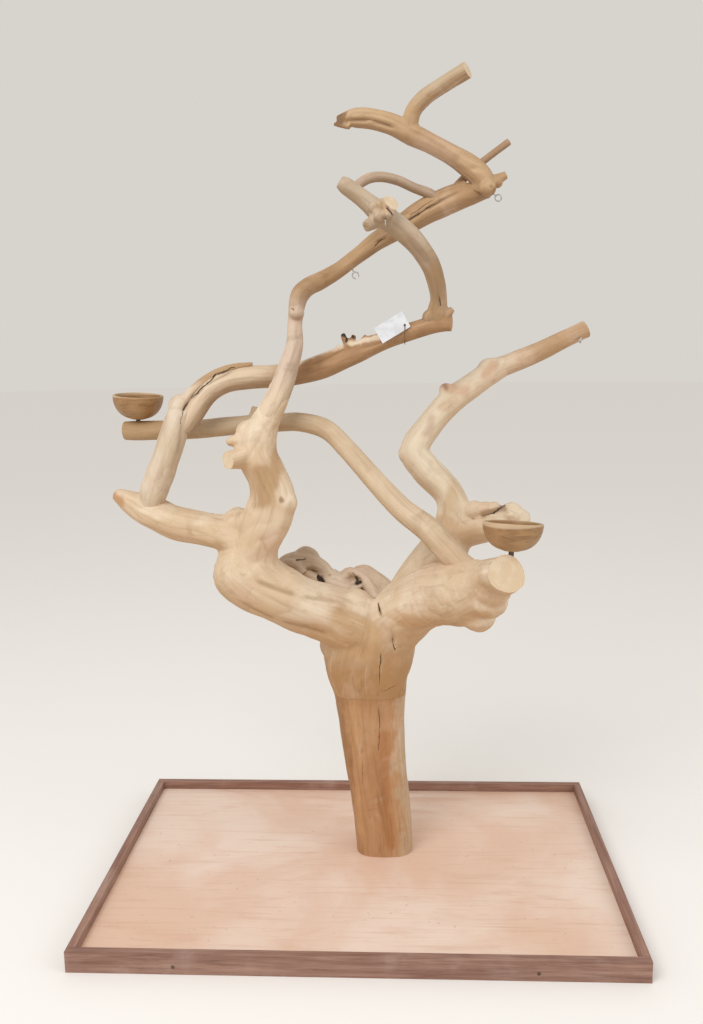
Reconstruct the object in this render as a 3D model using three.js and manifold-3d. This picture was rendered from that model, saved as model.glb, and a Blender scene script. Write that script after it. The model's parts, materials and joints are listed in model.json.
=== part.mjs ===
// A free-standing perch tree for pets: a low plywood tray with a hardwood lip, a squared trunk
// bolted up through it, a crown of natural limbs, branches dowelled on, two wooden food bowls
// that turn on their screws, screw eyes for hanging toys, and a blank card tag.
// Millimetres. +X is to the right, +Y to the back, +Z up. The origin is on the floor, in the
// middle of the tray. The tree has a frame of its own, whose origin is the middle of its foot.
import * as THREE from "three";
import { mergeVertices } from "three/addons/utils/BufferGeometryUtils.js";
import Module from "manifold-3d";

const wasm = await Module();
wasm.setup();

// ---- Driving dimensions: tray ----
const TRAY_WIDTH = 1220;
const TRAY_DEPTH = 813;
const RAIL_HEIGHT = 48;
const RAIL_THICKNESS = 18;
const PANEL_THICKNESS = 18;
const TRAY_LIP = 22; // how far the rails stand above the panel
const RAIL_SCREW_RADIUS = 2;
const RAIL_SCREW_LENGTH = 45;
const RAIL_SCREW_INSET = 230; // from a corner of the tray to the nearest screw along a rail

// ---- Driving dimensions: tree ----
const TREE_X = 56; // the foot's place on the tray
const TREE_Y = 80;
const TREE_HEIGHT = 1850; // above the panel
const GIRTH = 1; // thickness of every limb, as a share of its drawn radius
const TRUNK_DEPTH = 0.8; // the trunk's depth over its width
const SEAM_HEIGHT = 424; // where the post meets the crown
const LAG_RADIUS = 4;
const LAG_LENGTH = 90;
const LAG_HEAD_HEIGHT = 5;
const LAG_SPACING_X = 70;
const LAG_SPACING_Y = 52;
const WASHER_RADIUS = 13;
const WASHER_THICKNESS = 1.6;
const TRUNK_DOWEL_RADIUS = 9.5;
const TRUNK_DOWEL_LENGTH = 110;
const TRUNK_DOWEL_SPACING = 66;

// ---- Driving dimensions: fittings ----
const BOWL_RADIUS = 61;
const BOWL_HEIGHT = 58;
const BOWL_WALL = 5.5;
const BOWL_FOOT_RADIUS = 18;
const BOWL_SCREW_RADIUS = 2.5;
const BOWL_SCREW_DEPTH = 30; // in the wood
const SPACER_RADIUS = 5.5;
const SPACER_HEIGHT = 17;
const EYE_RING_RADIUS = 7;
const EYE_WIRE_RADIUS = 1.4;
const TAG_LENGTH = 72;
const TAG_WIDTH = 39;
const TAG_THICKNESS = 1;
const TAG_HOLE_RADIUS = 3;
const TAG_HOLE_INSET = 9.5; // from the hole to the tag's end and to its lower edge
const BAND_RADIUS = 0.9;
const BAND_SLACK = 3; // between the band and the branch
const TAG_PLACE = [58, -77, 1293]; // on the sweep's middle line, in the tree's frame
const TAG_SLOPE = 30; // degrees that the tag's long side climbs to the right

// ---- Clearances ----
const GAP = 0.3; // between pieces that touch
const RUNNING = 0.6; // round a bowl's screw, so that the bowl turns
const SEAT = 3; // flat cut round a bowl's spacer

const DRAWN_HEIGHT = 1850;
const STRETCH = TREE_HEIGHT / DRAWN_HEIGHT;
const PANEL_TOP = RAIL_HEIGHT - TRAY_LIP;
const PANEL_BOTTOM = PANEL_TOP - PANEL_THICKNESS;
const PANEL_WIDTH = TRAY_WIDTH - 2 * (RAIL_THICKNESS + GAP);
const PANEL_DEPTH = TRAY_DEPTH - 2 * (RAIL_THICKNESS + GAP);
const FAR = 4000;
const UP = new THREE.Vector3(0, 0, 1);

const FINISHES = {
  panel: { color: 0xd9b79c, roughness: 0.75, metalness: 0 },
  rail: { color: 0x7a5244, roughness: 0.6, metalness: 0 },
  trunk: { color: 0xb0865c, roughness: 0.7, metalness: 0 },
  limb: { color: 0xd6bf98, roughness: 0.75, metalness: 0 },
  dowel: { color: 0xd8c39a, roughness: 0.8, metalness: 0 },
  bowl: { color: 0x9a734c, roughness: 0.5, metalness: 0 },
  steel: { color: 0xb9bcc0, roughness: 0.35, metalness: 1 },
  card: { color: 0xf4f4ef, roughness: 0.9, metalness: 0 },
  band: { color: 0x5a4632, roughness: 0.8, metalness: 0 },
};

// ---- Solids and meshes ----

// A closed three.js geometry as a solid that can be joined and cut.
function solidFrom(geometry) {
  geometry.deleteAttribute("normal");
  geometry.deleteAttribute("uv");
  const merged = mergeVertices(geometry, 1e-4);
  return new wasm.Manifold(
    new wasm.Mesh({
      numProp: 3,
      vertProperties: new Float32Array(merged.attributes.position.array),
      triVerts: new Uint32Array(merged.index.array),
    }),
  );
}

function meshFrom(name, solid, finish) {
  const { vertProperties, triVerts } = solid.getMesh();
  const geometry = new THREE.BufferGeometry();
  geometry.setAttribute("position", new THREE.BufferAttribute(vertProperties, 3));
  geometry.setIndex(new THREE.BufferAttribute(triVerts, 1));
  geometry.computeVertexNormals();
  const mesh = new THREE.Mesh(geometry, new THREE.MeshStandardMaterial(FINISHES[finish]));
  mesh.name = name;
  return mesh;
}

function union(solids) {
  return solids.reduce((all, solid) => all.add(solid));
}

function cut(solid, ...cutters) {
  return cutters.reduce((rest, cutter) => rest.subtract(cutter), solid);
}

function vector([x, y, z]) {
  return new THREE.Vector3(x, y, z);
}

function box(width, depth, height, x, y, z) {
  return solidFrom(new THREE.BoxGeometry(width, depth, height).translate(x, y, z));
}

// Turns a geometry made along +Z so that it points along a direction, and moves it.
function along(geometry, direction, start) {
  const turn = new THREE.Quaternion().setFromUnitVectors(UP, direction.clone().normalize());
  return geometry.applyQuaternion(turn).translate(start.x, start.y, start.z);
}

// A round rod from one point to another.
function rod(start, end, radius, sides = 12) {
  const reach = end.clone().sub(start);
  const geometry = new THREE.CylinderGeometry(radius, radius, reach.length(), sides)
    .rotateX(Math.PI / 2)
    .translate(0, 0, reach.length() / 2);
  return solidFrom(along(geometry, reach, start));
}

// A closed profile of [radius, height] points, anticlockwise, turned round the Z axis.
function turned(profile, segments) {
  const closed = [...profile, profile[0]].map(([radius, height]) => new THREE.Vector2(radius, height));
  return new THREE.LatheGeometry(closed, segments).rotateX(Math.PI / 2);
}

// ---- Limbs ----
// A route is a list of [x, y, z, radius]. Heights stretch with the tree.
const RINGS_PER_SPAN = 2;

function spineOf(route) {
  const points = route.map(([x, y, z]) => new THREE.Vector3(x, y, z * STRETCH));
  return new THREE.CatmullRomCurve3(points, false, "centripetal");
}

// Directions across a spine at each ring, carried along it so that the skin doesn't twist.
function framesOn(spine, rings) {
  const frames = [];
  let across = new THREE.Vector3(1, 0, 0);
  if (Math.abs(spine.getTangent(0).x) > 0.8) across = new THREE.Vector3(0, 0, 1);
  for (let ring = 0; ring <= rings; ring++) {
    const tangent = spine.getTangent(ring / rings);
    across = across.clone().addScaledVector(tangent, -across.dot(tangent)).normalize();
    frames.push({ across, over: across.clone().cross(tangent) });
  }
  return frames;
}

function limb(route, { grow = 0, sides = 10, depth = 1, corner = 2 } = {}) {
  const spine = spineOf(route);
  const rings = (route.length - 1) * RINGS_PER_SPAN;
  const frames = framesOn(spine, rings);
  const radii = new THREE.SplineCurve(route.map(([, , , radius], i) => new THREE.Vector2(i, radius)));
  const geometry = new THREE.CylinderGeometry(1, 1, 1, sides, rings);
  const position = geometry.attributes.position;
  for (let i = 0; i < position.count; i++) {
    const x = position.getX(i);
    const y = position.getZ(i);
    const ring = Math.round((position.getY(i) + 0.5) * rings);
    // A corner above 2 squares the round section off.
    const round = (Math.abs(x) ** corner + Math.abs(y) ** corner) ** (1 / corner) || 1;
    const scale = (radii.getPoint(ring / rings).y * GIRTH) / round;
    const isRim = Math.hypot(x, y) > 0.5;
    const point = spine.getPoint(ring / rings);
    point.addScaledVector(frames[ring].across, x * scale + (isRim ? x * grow : 0));
    point.addScaledVector(frames[ring].over, y * scale * depth + (isRim ? y * grow : 0));
    if (ring === 0) point.addScaledVector(spine.getTangent(0), -grow);
    if (ring === rings) point.addScaledVector(spine.getTangent(1), grow);
    position.setXYZ(i, point.x, point.y, point.z);
  }
  return solidFrom(geometry);
}

// A swelling on a limb.
function knob([x, y, z, radius], { grow = 0 } = {}) {
  const size = radius * GIRTH + grow;
  return solidFrom(new THREE.SphereGeometry(size, 10, 8).translate(x, y, z * STRETCH));
}

// Everything that one piece of wood is grown from: its limbs and its swellings.
function wood({ limbs, knobs = [], options = {} }, grow = 0) {
  return union([
    ...limbs.map((route) => limb(route, { ...options, grow })),
    ...knobs.map((place) => knob(place, { grow })),
  ]);
}

// ---- Routes, in the tree's frame ----
const TRUNK_ROUTE = [
  [2, 0, -30, 70],
  [-1, 0, 50, 72],
  [-8, 0, 125, 73],
  [-25, -2, 283, 78],
  [-31, -6, 411, 87],
  [-34, -14, 500, 104],
  [-15, -17, 580, 98],
  [-10, -18, 640, 60],
];
const TRUNK_SECTION = { sides: 16, depth: TRUNK_DEPTH, corner: 3 };

const CROWN = {
  limbs: [
    // left limb
    [
      [-20, -20, 574, 76],
      [-92, -45, 616, 73],
      [-175, -75, 656, 66],
      [-257, -95, 701, 69],
      [-318, -102, 752, 76],
      [-330, -102, 805, 54],
    ],
    // left arm
    [
      [-300, -103, 800, 48],
      [-346, -100, 835, 46],
      [-411, -90, 850, 41],
      [-484, -80, 863, 40],
      [-550, -70, 890, 35],
      [-598, -65, 914, 24],
      [-627, -60, 930, 13],
    ],
    // central stem
    [
      [-298, -103, 770, 56],
      [-286, -112, 825, 53],
      [-252, -125, 898, 54],
      [-246, -128, 933, 50],
      [-258, -130, 980, 45],
      [-278, -128, 1025, 46],
      [-275, -125, 1064, 38],
      [-264, -123, 1090, 31],
    ],
    // sawn stub on the stem
    [
      [-285, -130, 1025, 26],
      [-318, -145, 1020, 23],
      [-342, -157, 1018, 22],
    ],
    // short rough stub above it
    [
      [-290, -125, 1052, 20],
      [-325, -138, 1057, 13],
      [-345, -145, 1058, 9],
    ],
    // right limb, ending in a thick sawn stub
    [
      [-5, -25, 570, 82],
      [67, -75, 652, 71],
      [134, -145, 704, 72],
      [189, -215, 727, 73],
      [227, -295, 770, 50],
      [256, -405, 815, 37],
    ],
    // roots that curl round behind the fork
    [
      [-30, 5, 590, 45],
      [-90, 20, 660, 38],
      [-150, 20, 708, 29],
      [-215, 10, 736, 28],
      [-255, -8, 742, 20],
    ],
    [
      [-10, 10, 600, 40],
      [-45, 18, 665, 27],
      [-76, 20, 698, 19],
    ],
    [
      [15, 0, 610, 45],
      [0, 12, 685, 30],
      [-22, 14, 715, 22],
    ],
  ],
  knobs: [
    [-60, -58, 655, 40],
    [214, -236, 680, 36],
    [238, -322, 770, 40],
    [-300, -122, 1080, 20],
    [-222, -140, 918, 30],
    [-332, -105, 866, 36],
  ],
};

const RIGHT_BACK_LIMB = {
  limbs: [
    [
      [32, -14, 640, 38],
      [104, -20, 732, 54],
      [156, -34, 795, 55],
      [174, -32, 867, 43],
      [162, -25, 916, 36],
      [105, -10, 978, 38],
      [80, -5, 1018, 36],
      [117, 5, 1081, 31],
      [170, 15, 1136, 31],
      [236, 25, 1182, 28],
      [270, 30, 1204, 32],
    ],
    // broken stub
    [
      [160, -35, 825, 46],
      [255, -50, 848, 46],
      [328, -65, 860, 35],
    ],
    [
      [170, 15, 1136, 18],
      [154, 13, 1168, 14],
    ],
  ],
};

const RIGHT_TIP = {
  limbs: [
    [
      [256, 28, 1195, 23],
      [276, 31, 1207, 24],
      [357, 45, 1238, 23.5],
      [489, 70, 1297, 21],
    ],
  ],
};

const MID_BRANCH = {
  limbs: [
    [
      [192, -218, 772, 26],
      [139, -192, 829, 29],
      [111, -178, 858, 29],
      [53, -152, 901, 26],
      [-22, -120, 976, 24],
      [-80, -90, 1038, 23],
      [-126, -70, 1078, 23],
      [-186, -50, 1093, 22],
      [-235, -35, 1092, 22],
      [-333, -12, 1084, 22.5],
      [-435, 12, 1074, 23],
      [-538, 35, 1070, 23],
      [-628, 55, 1068, 22],
    ],
    [
      [-300, -20, 1095, 13],
      [-291, -22, 1127, 10],
    ],
  ],
};

const LEFT_RISER = {
  limbs: [
    [
      [-541, -76, 905, 27],
      [-531, -78, 940, 32],
      [-521, -77, 965, 32],
      [-495, -72, 1033, 32],
      [-474, -68, 1090, 30],
      [-456, -65, 1135, 27],
      [-448, -63, 1153, 18],
    ],
    // the split tongue that runs on over the sweep
    [
      [-458, -65, 1130, 14],
      [-428, -64, 1176, 11],
      [-400, -62, 1201, 9],
      [-371, -60, 1216, 8],
      [-336, -56, 1226, 6],
      [-298, -50, 1229, 4],
    ],
  ],
};

const SWEEP = {
  limbs: [
    [
      [-462, -66, 1080, 22],
      [-437, -62, 1113, 25],
      [-405, -60, 1159, 27],
      [-381, -58, 1179, 28],
      [-348, -54, 1192, 27],
      [-300, -48, 1198, 27],
      [-250, -40, 1199, 27],
      [-171, -35, 1207, 26],
      [-67, -45, 1243, 23],
      [13, -65, 1278, 21],
      [92, -85, 1303, 20],
      [136, -95, 1313, 20],
      [162, -100, 1312, 15],
    ],
    // torn spike
    [
      [-80, -44, 1245, 12],
      [-70, -48, 1285, 9],
    ],
  ],
};

const HOOK = {
  limbs: [
    [
      [134, -96, 1318, 15],
      [132, -98, 1340, 20.5],
      [133, -106, 1365, 17.5],
      [128, -118, 1397, 19.5],
      [113, -134, 1438, 21],
      [91, -148, 1472, 22],
      [59, -158, 1504, 24],
      [16, -165, 1536, 26],
      [-31, -170, 1573, 19],
      [-74, -175, 1604, 17],
    ],
    // sawn stub and ring knot
    [
      [14, -165, 1536, 18],
      [33, -180, 1566, 14],
    ],
    [
      [10, -168, 1532, 15],
      [-20, -190, 1522, 11],
    ],
  ],
};

const CENTRAL_BRANCH = {
  limbs: [
    [
      [-270, -124, 1078, 24],
      [-256, -122, 1106, 29],
      [-232, -120, 1148, 27],
      [-207, -108, 1214, 24],
      [-189, -106, 1270, 20],
      [-187, -101, 1321, 17],
      [-176, -99, 1378, 21],
      [-157, -96, 1397, 20.5],
      [-130, -92, 1409, 20],
      [-85, -86, 1435, 17.5],
      [-40, -80, 1468, 18],
      [4, -74, 1500, 21],
      [70, -65, 1535, 24.5],
      [137, -60, 1568, 26],
      [203, -60, 1592, 25],
      [250, -60, 1602, 20],
    ],
  ],
};

const TOP_BRANCH = {
  limbs: [
    [
      [224, -66, 1598, 18],
      [228, -74, 1622, 26],
      [202, -74, 1647, 26],
      [163, -70, 1674, 22],
      [121, -65, 1698, 21.5],
      [76, -60, 1721, 24],
      [39, -54, 1742, 23],
      [-4, -48, 1756, 22],
      [-49, -44, 1762, 20.5],
      [-89, -40, 1759, 9],
    ],
    // forked twig
    [
      [71, -62, 1725, 18],
      [78, -70, 1765, 18],
      [102, -76, 1791, 17.5],
      [146, -84, 1819, 17.5],
      [196, -90, 1842, 18],
    ],
    // grey nub at the elbow
    [
      [236, -72, 1618, 13],
      [272, -66, 1637, 9],
    ],
  ],
};

const THIN_TWIG = {
  limbs: [
    [
      [150, -52, 1582, 8],
      [178, -38, 1616, 9],
      [230, -20, 1664, 8.3],
      [293, -5, 1711, 8],
    ],
  ],
  options: { sides: 8 },
};

const CURVED_TWIG = {
  limbs: [
    [
      [140, -61, 1572, 9],
      [118, -67, 1592, 12],
      [79, -80, 1606, 11],
      [44, -100, 1619, 11],
      [10, -120, 1624, 11],
      [-18, -140, 1618, 11],
      [-42, -157, 1600, 10],
      [-50, -170, 1585, 8],
    ],
  ],
  options: { sides: 8 },
};

// ---- Tray ----
const tray = new THREE.Group();

// A countersunk wood screw along +Z, its head's face at the origin.
function woodScrew(radius, length) {
  const head = 2 * radius;
  return turned(
    [
      [0, 0],
      [head, 0],
      [radius, radius],
      [radius, length - 2 * radius],
      [0, length],
    ],
    10,
  );
}

// The hole that a wood screw fills, open at its head.
function screwHole(radius, length) {
  const wide = 2 * radius + GAP;
  return turned(
    [
      [0, -1],
      [wide, -1],
      [wide, GAP],
      [radius + GAP, radius + GAP],
      [radius + GAP, length + GAP],
      [0, length + GAP],
    ],
    10,
  );
}

// Each rail screw starts in a rail's outer face and runs level into the panel's edge.
function railScrewPlaces() {
  const level = (PANEL_TOP + PANEL_BOTTOM) / 2;
  const places = [];
  for (const side of [-1, 1]) {
    for (const end of [-1, 1]) {
      const x = end * (TRAY_WIDTH / 2 - RAIL_SCREW_INSET);
      const y = end * (TRAY_DEPTH / 2 - RAIL_SCREW_INSET);
      places.push({ start: [x, side * (TRAY_DEPTH / 2 - GAP), level], inward: [0, -side, 0] });
      places.push({ start: [side * (TRAY_WIDTH / 2 - GAP), y, level], inward: [-side, 0, 0] });
    }
  }
  return places;
}

function lagPlaces() {
  const places = [];
  for (const x of [-LAG_SPACING_X / 2, LAG_SPACING_X / 2]) {
    for (const y of [-LAG_SPACING_Y / 2, LAG_SPACING_Y / 2]) {
      places.push(new THREE.Vector3(x, y, 0));
    }
  }
  return places;
}

const screwHoles = railScrewPlaces().map(({ start, inward }) =>
  solidFrom(along(screwHole(RAIL_SCREW_RADIUS, RAIL_SCREW_LENGTH), vector(inward), vector(start))),
);
const treeFoot = new THREE.Vector3(TREE_X, TREE_Y, PANEL_TOP);
const panelLagHoles = lagPlaces().map((place) => {
  const middle = place.clone().add(treeFoot);
  return rod(middle.clone().setZ(-1), middle.clone().setZ(PANEL_TOP + 1), LAG_RADIUS + GAP);
});

const panelMiddle = (PANEL_TOP + PANEL_BOTTOM) / 2;
const panel = cut(
  box(PANEL_WIDTH, PANEL_DEPTH, PANEL_THICKNESS, 0, 0, panelMiddle),
  ...screwHoles,
  ...panelLagHoles,
);
tray.add(meshFrom("tray_panel", panel, "panel"));

// The long rails run the whole width, and the short ones fit between them.
const longOffset = (TRAY_DEPTH - RAIL_THICKNESS) / 2;
const shortOffset = (TRAY_WIDTH - RAIL_THICKNESS) / 2;
const shortLength = TRAY_DEPTH - 2 * (RAIL_THICKNESS + GAP);
const rails = {
  rail_front: box(TRAY_WIDTH, RAIL_THICKNESS, RAIL_HEIGHT, 0, -longOffset, RAIL_HEIGHT / 2),
  rail_back: box(TRAY_WIDTH, RAIL_THICKNESS, RAIL_HEIGHT, 0, longOffset, RAIL_HEIGHT / 2),
  rail_left: box(RAIL_THICKNESS, shortLength, RAIL_HEIGHT, -shortOffset, 0, RAIL_HEIGHT / 2),
  rail_right: box(RAIL_THICKNESS, shortLength, RAIL_HEIGHT, shortOffset, 0, RAIL_HEIGHT / 2),
};
for (const [name, solid] of Object.entries(rails)) {
  tray.add(meshFrom(name, cut(solid, ...screwHoles), "rail"));
}
railScrewPlaces().forEach(({ start, inward }, i) => {
  const screw = along(woodScrew(RAIL_SCREW_RADIUS, RAIL_SCREW_LENGTH), vector(inward), vector(start));
  tray.add(meshFrom(`rail_screw_${i + 1}`, solidFrom(screw), "steel"));
});

// ---- Fasteners of the tree ----

// A hex-headed lag screw that points up, with its head's upper face at seat.
function lagScrew(place, seat) {
  const shank = rod(place.clone().setZ(seat - 1), place.clone().setZ(seat + LAG_LENGTH), LAG_RADIUS);
  const head = rod(place.clone().setZ(seat - LAG_HEAD_HEIGHT), place.clone().setZ(seat), 2 * LAG_RADIUS, 6);
  return shank.add(head);
}

function washer(place, top) {
  const inner = LAG_RADIUS + GAP;
  const profile = [
    [inner, -WASHER_THICKNESS],
    [WASHER_RADIUS, -WASHER_THICKNESS],
    [WASHER_RADIUS, 0],
    [inner, 0],
  ];
  return solidFrom(turned(profile, 12).translate(place.x, place.y, top));
}

// A dowel on the line along which a route sets out, and the bore that holds it.
function dowelOf({ limbs }, length, radius) {
  const spine = spineOf(limbs[0]);
  const start = spine.getPointAt(0);
  const end = spine.getPointAt(Math.min(1, length / spine.getLength()));
  const spare = end.clone().sub(start).setLength(1);
  return {
    pin: rod(start, end, radius),
    bore: rod(start.clone().sub(spare), end.clone().add(spare), radius + GAP),
  };
}

// A screw eye: a ring on a pointed shank. The ring's plane holds the shank, square to facing.
function screwEye(ring, anchor, facing) {
  const outward = vector(ring).sub(vector(anchor)).normalize();
  const hoop = new THREE.TorusGeometry(EYE_RING_RADIUS, EYE_WIRE_RADIUS, 6, 14);
  const turn = new THREE.Quaternion().setFromUnitVectors(UP, vector(facing));
  const middle = vector(ring).setZ(ring[2] * STRETCH);
  const shift = middle.clone().sub(vector(ring));
  hoop.applyQuaternion(turn).translate(middle.x, middle.y, middle.z);
  const neck = middle.clone().addScaledVector(outward, -EYE_RING_RADIUS);
  const tip = vector(anchor).add(shift);
  const spare = outward.clone();
  return {
    eye: solidFrom(hoop).add(rod(tip, neck, EYE_WIRE_RADIUS * 1.1, 8)),
    bore: rod(tip.clone().sub(spare), neck.clone().sub(spare), EYE_WIRE_RADIUS * 1.1 + GAP, 8),
  };
}

const dowels = {
  right_back_dowel: dowelOf(RIGHT_BACK_LIMB, 130, 12),
  right_tip_dowel: dowelOf(RIGHT_TIP, 60, 6),
  mid_dowel: dowelOf(MID_BRANCH, 75, 9),
  riser_dowel: dowelOf(LEFT_RISER, 75, 9),
  sweep_dowel: dowelOf(SWEEP, 75, 8),
  hook_dowel: dowelOf(HOOK, 50, 7),
  central_dowel: dowelOf(CENTRAL_BRANCH, 75, 8),
  top_dowel: dowelOf(TOP_BRANCH, 45, 7),
  thin_twig_dowel: dowelOf(THIN_TWIG, 40, 4),
  curved_twig_dowel: dowelOf(CURVED_TWIG, 36, 4),
};

const eyes = {
  screw_eye_end: screwEye([266, -60, 1583], [241, -60, 1603], [0, -1, 0]),
  screw_eye_under: screwEye([-51, -82, 1421], [-64, -82, 1447], [0, -1, 0]),
  screw_eye_hook: screwEye([18, -204, 1520], [18, -170, 1534], [1, 0, 0]),
  screw_eye_tip: screwEye([471, 36, 1272], [471, 64, 1288], [1, 0, 0]),
};

// ---- Bowls ----
// over is a place on the wood's middle line and rise the height of the flat cut above it. lean
// turns the bowl about X and Y, in degrees.
const bowlPlaces = {
  left: { over: [-596, 50, 1069], rise: 11, lean: [3, 3.5] },
  right: { over: [267, -380, 810], rise: 28, lean: [-6, 3.5] },
};

// Everything of a bowl's fixing, each made along +Z above its seat.
function bowlParts({ over, rise, lean }) {
  const [x, y, z] = over;
  const seat = z * STRETCH + rise * GIRTH;
  const tilt = lean.map(THREE.MathUtils.degToRad);
  const place = (geometry) =>
    solidFrom(geometry.rotateX(tilt[0]).rotateY(tilt[1]).translate(x, y, seat));
  const foot = SPACER_HEIGHT + 2 * GAP;
  const floor = foot + BOWL_WALL;
  const hole = BOWL_SCREW_RADIUS + RUNNING;

  // The wall follows a rounded square law from the foot to the rim, inside and out.
  const wall = (radius, height, steps, base) => {
    const points = [];
    for (let step = 0; step <= steps; step++) {
      const angle = ((Math.PI / 2) * step) / steps;
      const reach = Math.sin(angle) ** 0.7;
      const drop = Math.cos(angle) ** 0.95;
      points.push([Math.max(reach * radius, base), foot + BOWL_HEIGHT - drop * height]);
    }
    return points;
  };
  const outer = wall(BOWL_RADIUS, BOWL_HEIGHT, 7, BOWL_FOOT_RADIUS).slice(1);
  const inner = wall(BOWL_RADIUS - BOWL_WALL, BOWL_HEIGHT - BOWL_WALL, 6, 0).slice(2);
  const profile = [
    [hole, foot],
    [BOWL_FOOT_RADIUS, foot],
    ...outer,
    ...inner.reverse(),
    [BOWL_FOOT_RADIUS - BOWL_WALL, floor],
    [hole, floor],
  ];
  const headRadius = 2.6 * BOWL_SCREW_RADIUS;
  const screw = [
    [0, -BOWL_SCREW_DEPTH],
    [BOWL_SCREW_RADIUS, -BOWL_SCREW_DEPTH + 2 * BOWL_SCREW_RADIUS],
    [BOWL_SCREW_RADIUS, floor + GAP],
    [headRadius, floor + GAP],
    [headRadius, floor + BOWL_SCREW_RADIUS],
    [headRadius / 2, floor + 1.5 * BOWL_SCREW_RADIUS],
    [0, floor + 1.5 * BOWL_SCREW_RADIUS],
  ];
  const spacer = [
    [BOWL_SCREW_RADIUS + GAP, GAP],
    [SPACER_RADIUS, GAP],
    [SPACER_RADIUS, GAP + SPACER_HEIGHT],
    [BOWL_SCREW_RADIUS + GAP, GAP + SPACER_HEIGHT],
  ];
  const flat = [
    [0, 0],
    [SPACER_RADIUS + SEAT, 0],
    [SPACER_RADIUS + SEAT, BOWL_RADIUS],
    [0, BOWL_RADIUS],
  ];
  const bore = [
    [0, -BOWL_SCREW_DEPTH - 1],
    [BOWL_SCREW_RADIUS + GAP, -BOWL_SCREW_DEPTH - 1],
    [BOWL_SCREW_RADIUS + GAP, 1],
    [0, 1],
  ];
  return {
    bowl: place(turned(profile, 24)),
    screw: place(turned(screw, 12)),
    spacer: place(turned(spacer, 12)),
    cutters: [place(turned(flat, 12)), place(turned(bore, 12))],
  };
}

const leftBowl = bowlParts(bowlPlaces.left);
const rightBowl = bowlParts(bowlPlaces.right);

// ---- Tree ----
const tree = new THREE.Group();
tree.position.copy(treeFoot);

const belowSeam = box(FAR, FAR, FAR, 0, 0, SEAM_HEIGHT * STRETCH + GAP - FAR / 2);
const aboveSeam = box(FAR, FAR, FAR, 0, 0, SEAM_HEIGHT * STRETCH + FAR / 2);
const belowPanel = box(FAR, FAR, FAR, 0, 0, GAP - FAR / 2);

const trunkDowels = [-1, 1].map((side) => {
  const middle = new THREE.Vector3(-31 + (side * TRUNK_DOWEL_SPACING) / 2, -6, SEAM_HEIGHT * STRETCH);
  const half = new THREE.Vector3(0, 0, TRUNK_DOWEL_LENGTH / 2);
  const spare = new THREE.Vector3(0, 0, 1);
  const start = middle.clone().sub(half);
  const end = middle.clone().add(half);
  return {
    pin: rod(start, end, TRUNK_DOWEL_RADIUS),
    bore: rod(start.clone().sub(spare), end.clone().add(spare), TRUNK_DOWEL_RADIUS + GAP),
  };
});
const trunkDowelBores = trunkDowels.map(({ bore }) => bore);

const washerTop = PANEL_BOTTOM - PANEL_TOP - GAP;
const lagSeat = washerTop - WASHER_THICKNESS - GAP;
const lagBores = lagPlaces().map((place) =>
  rod(place.clone().setZ(-1), place.clone().setZ(lagSeat + LAG_LENGTH + 1), LAG_RADIUS + GAP),
);

const trunk = limb(TRUNK_ROUTE, TRUNK_SECTION);
const post = cut(trunk, aboveSeam, belowPanel, ...lagBores, ...trunkDowelBores);

// The crown grows from the trunk above the seam.
function crownWood(grow = 0) {
  const stump = limb(TRUNK_ROUTE, { ...TRUNK_SECTION, grow });
  return cut(stump, belowSeam).add(wood(CROWN, grow));
}

const { bore: rightBackBore } = dowels.right_back_dowel;
const crown = cut(
  crownWood(),
  ...trunkDowelBores,
  rightBackBore,
  dowels.mid_dowel.bore,
  dowels.riser_dowel.bore,
  dowels.central_dowel.bore,
  ...rightBowl.cutters,
);
const crownRoom = crownWood(GAP);
const rightBack = cut(wood(RIGHT_BACK_LIMB), crownRoom, rightBackBore, dowels.right_tip_dowel.bore);
const rightTip = cut(
  wood(RIGHT_TIP),
  wood(RIGHT_BACK_LIMB, GAP),
  dowels.right_tip_dowel.bore,
  eyes.screw_eye_tip.bore,
);
const mid = cut(wood(MID_BRANCH), crownRoom, dowels.mid_dowel.bore, ...leftBowl.cutters);
const riser = cut(wood(LEFT_RISER), crownRoom, dowels.riser_dowel.bore, dowels.sweep_dowel.bore);
const sweep = cut(
  wood(SWEEP),
  wood(LEFT_RISER, GAP),
  dowels.sweep_dowel.bore,
  dowels.hook_dowel.bore,
);
const hook = cut(wood(HOOK), wood(SWEEP, GAP), dowels.hook_dowel.bore, eyes.screw_eye_hook.bore);
const centralRoom = wood(CENTRAL_BRANCH, GAP);
const central = cut(
  wood(CENTRAL_BRANCH),
  crownRoom,
  dowels.central_dowel.bore,
  dowels.top_dowel.bore,
  dowels.thin_twig_dowel.bore,
  dowels.curved_twig_dowel.bore,
  eyes.screw_eye_end.bore,
  eyes.screw_eye_under.bore,
);
const topBranch = cut(wood(TOP_BRANCH), centralRoom, dowels.top_dowel.bore);
const thinTwig = cut(wood(THIN_TWIG), centralRoom, dowels.thin_twig_dowel.bore);
const curvedTwig = cut(
  wood(CURVED_TWIG),
  centralRoom,
  wood(HOOK, GAP),
  dowels.curved_twig_dowel.bore,
);

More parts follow.
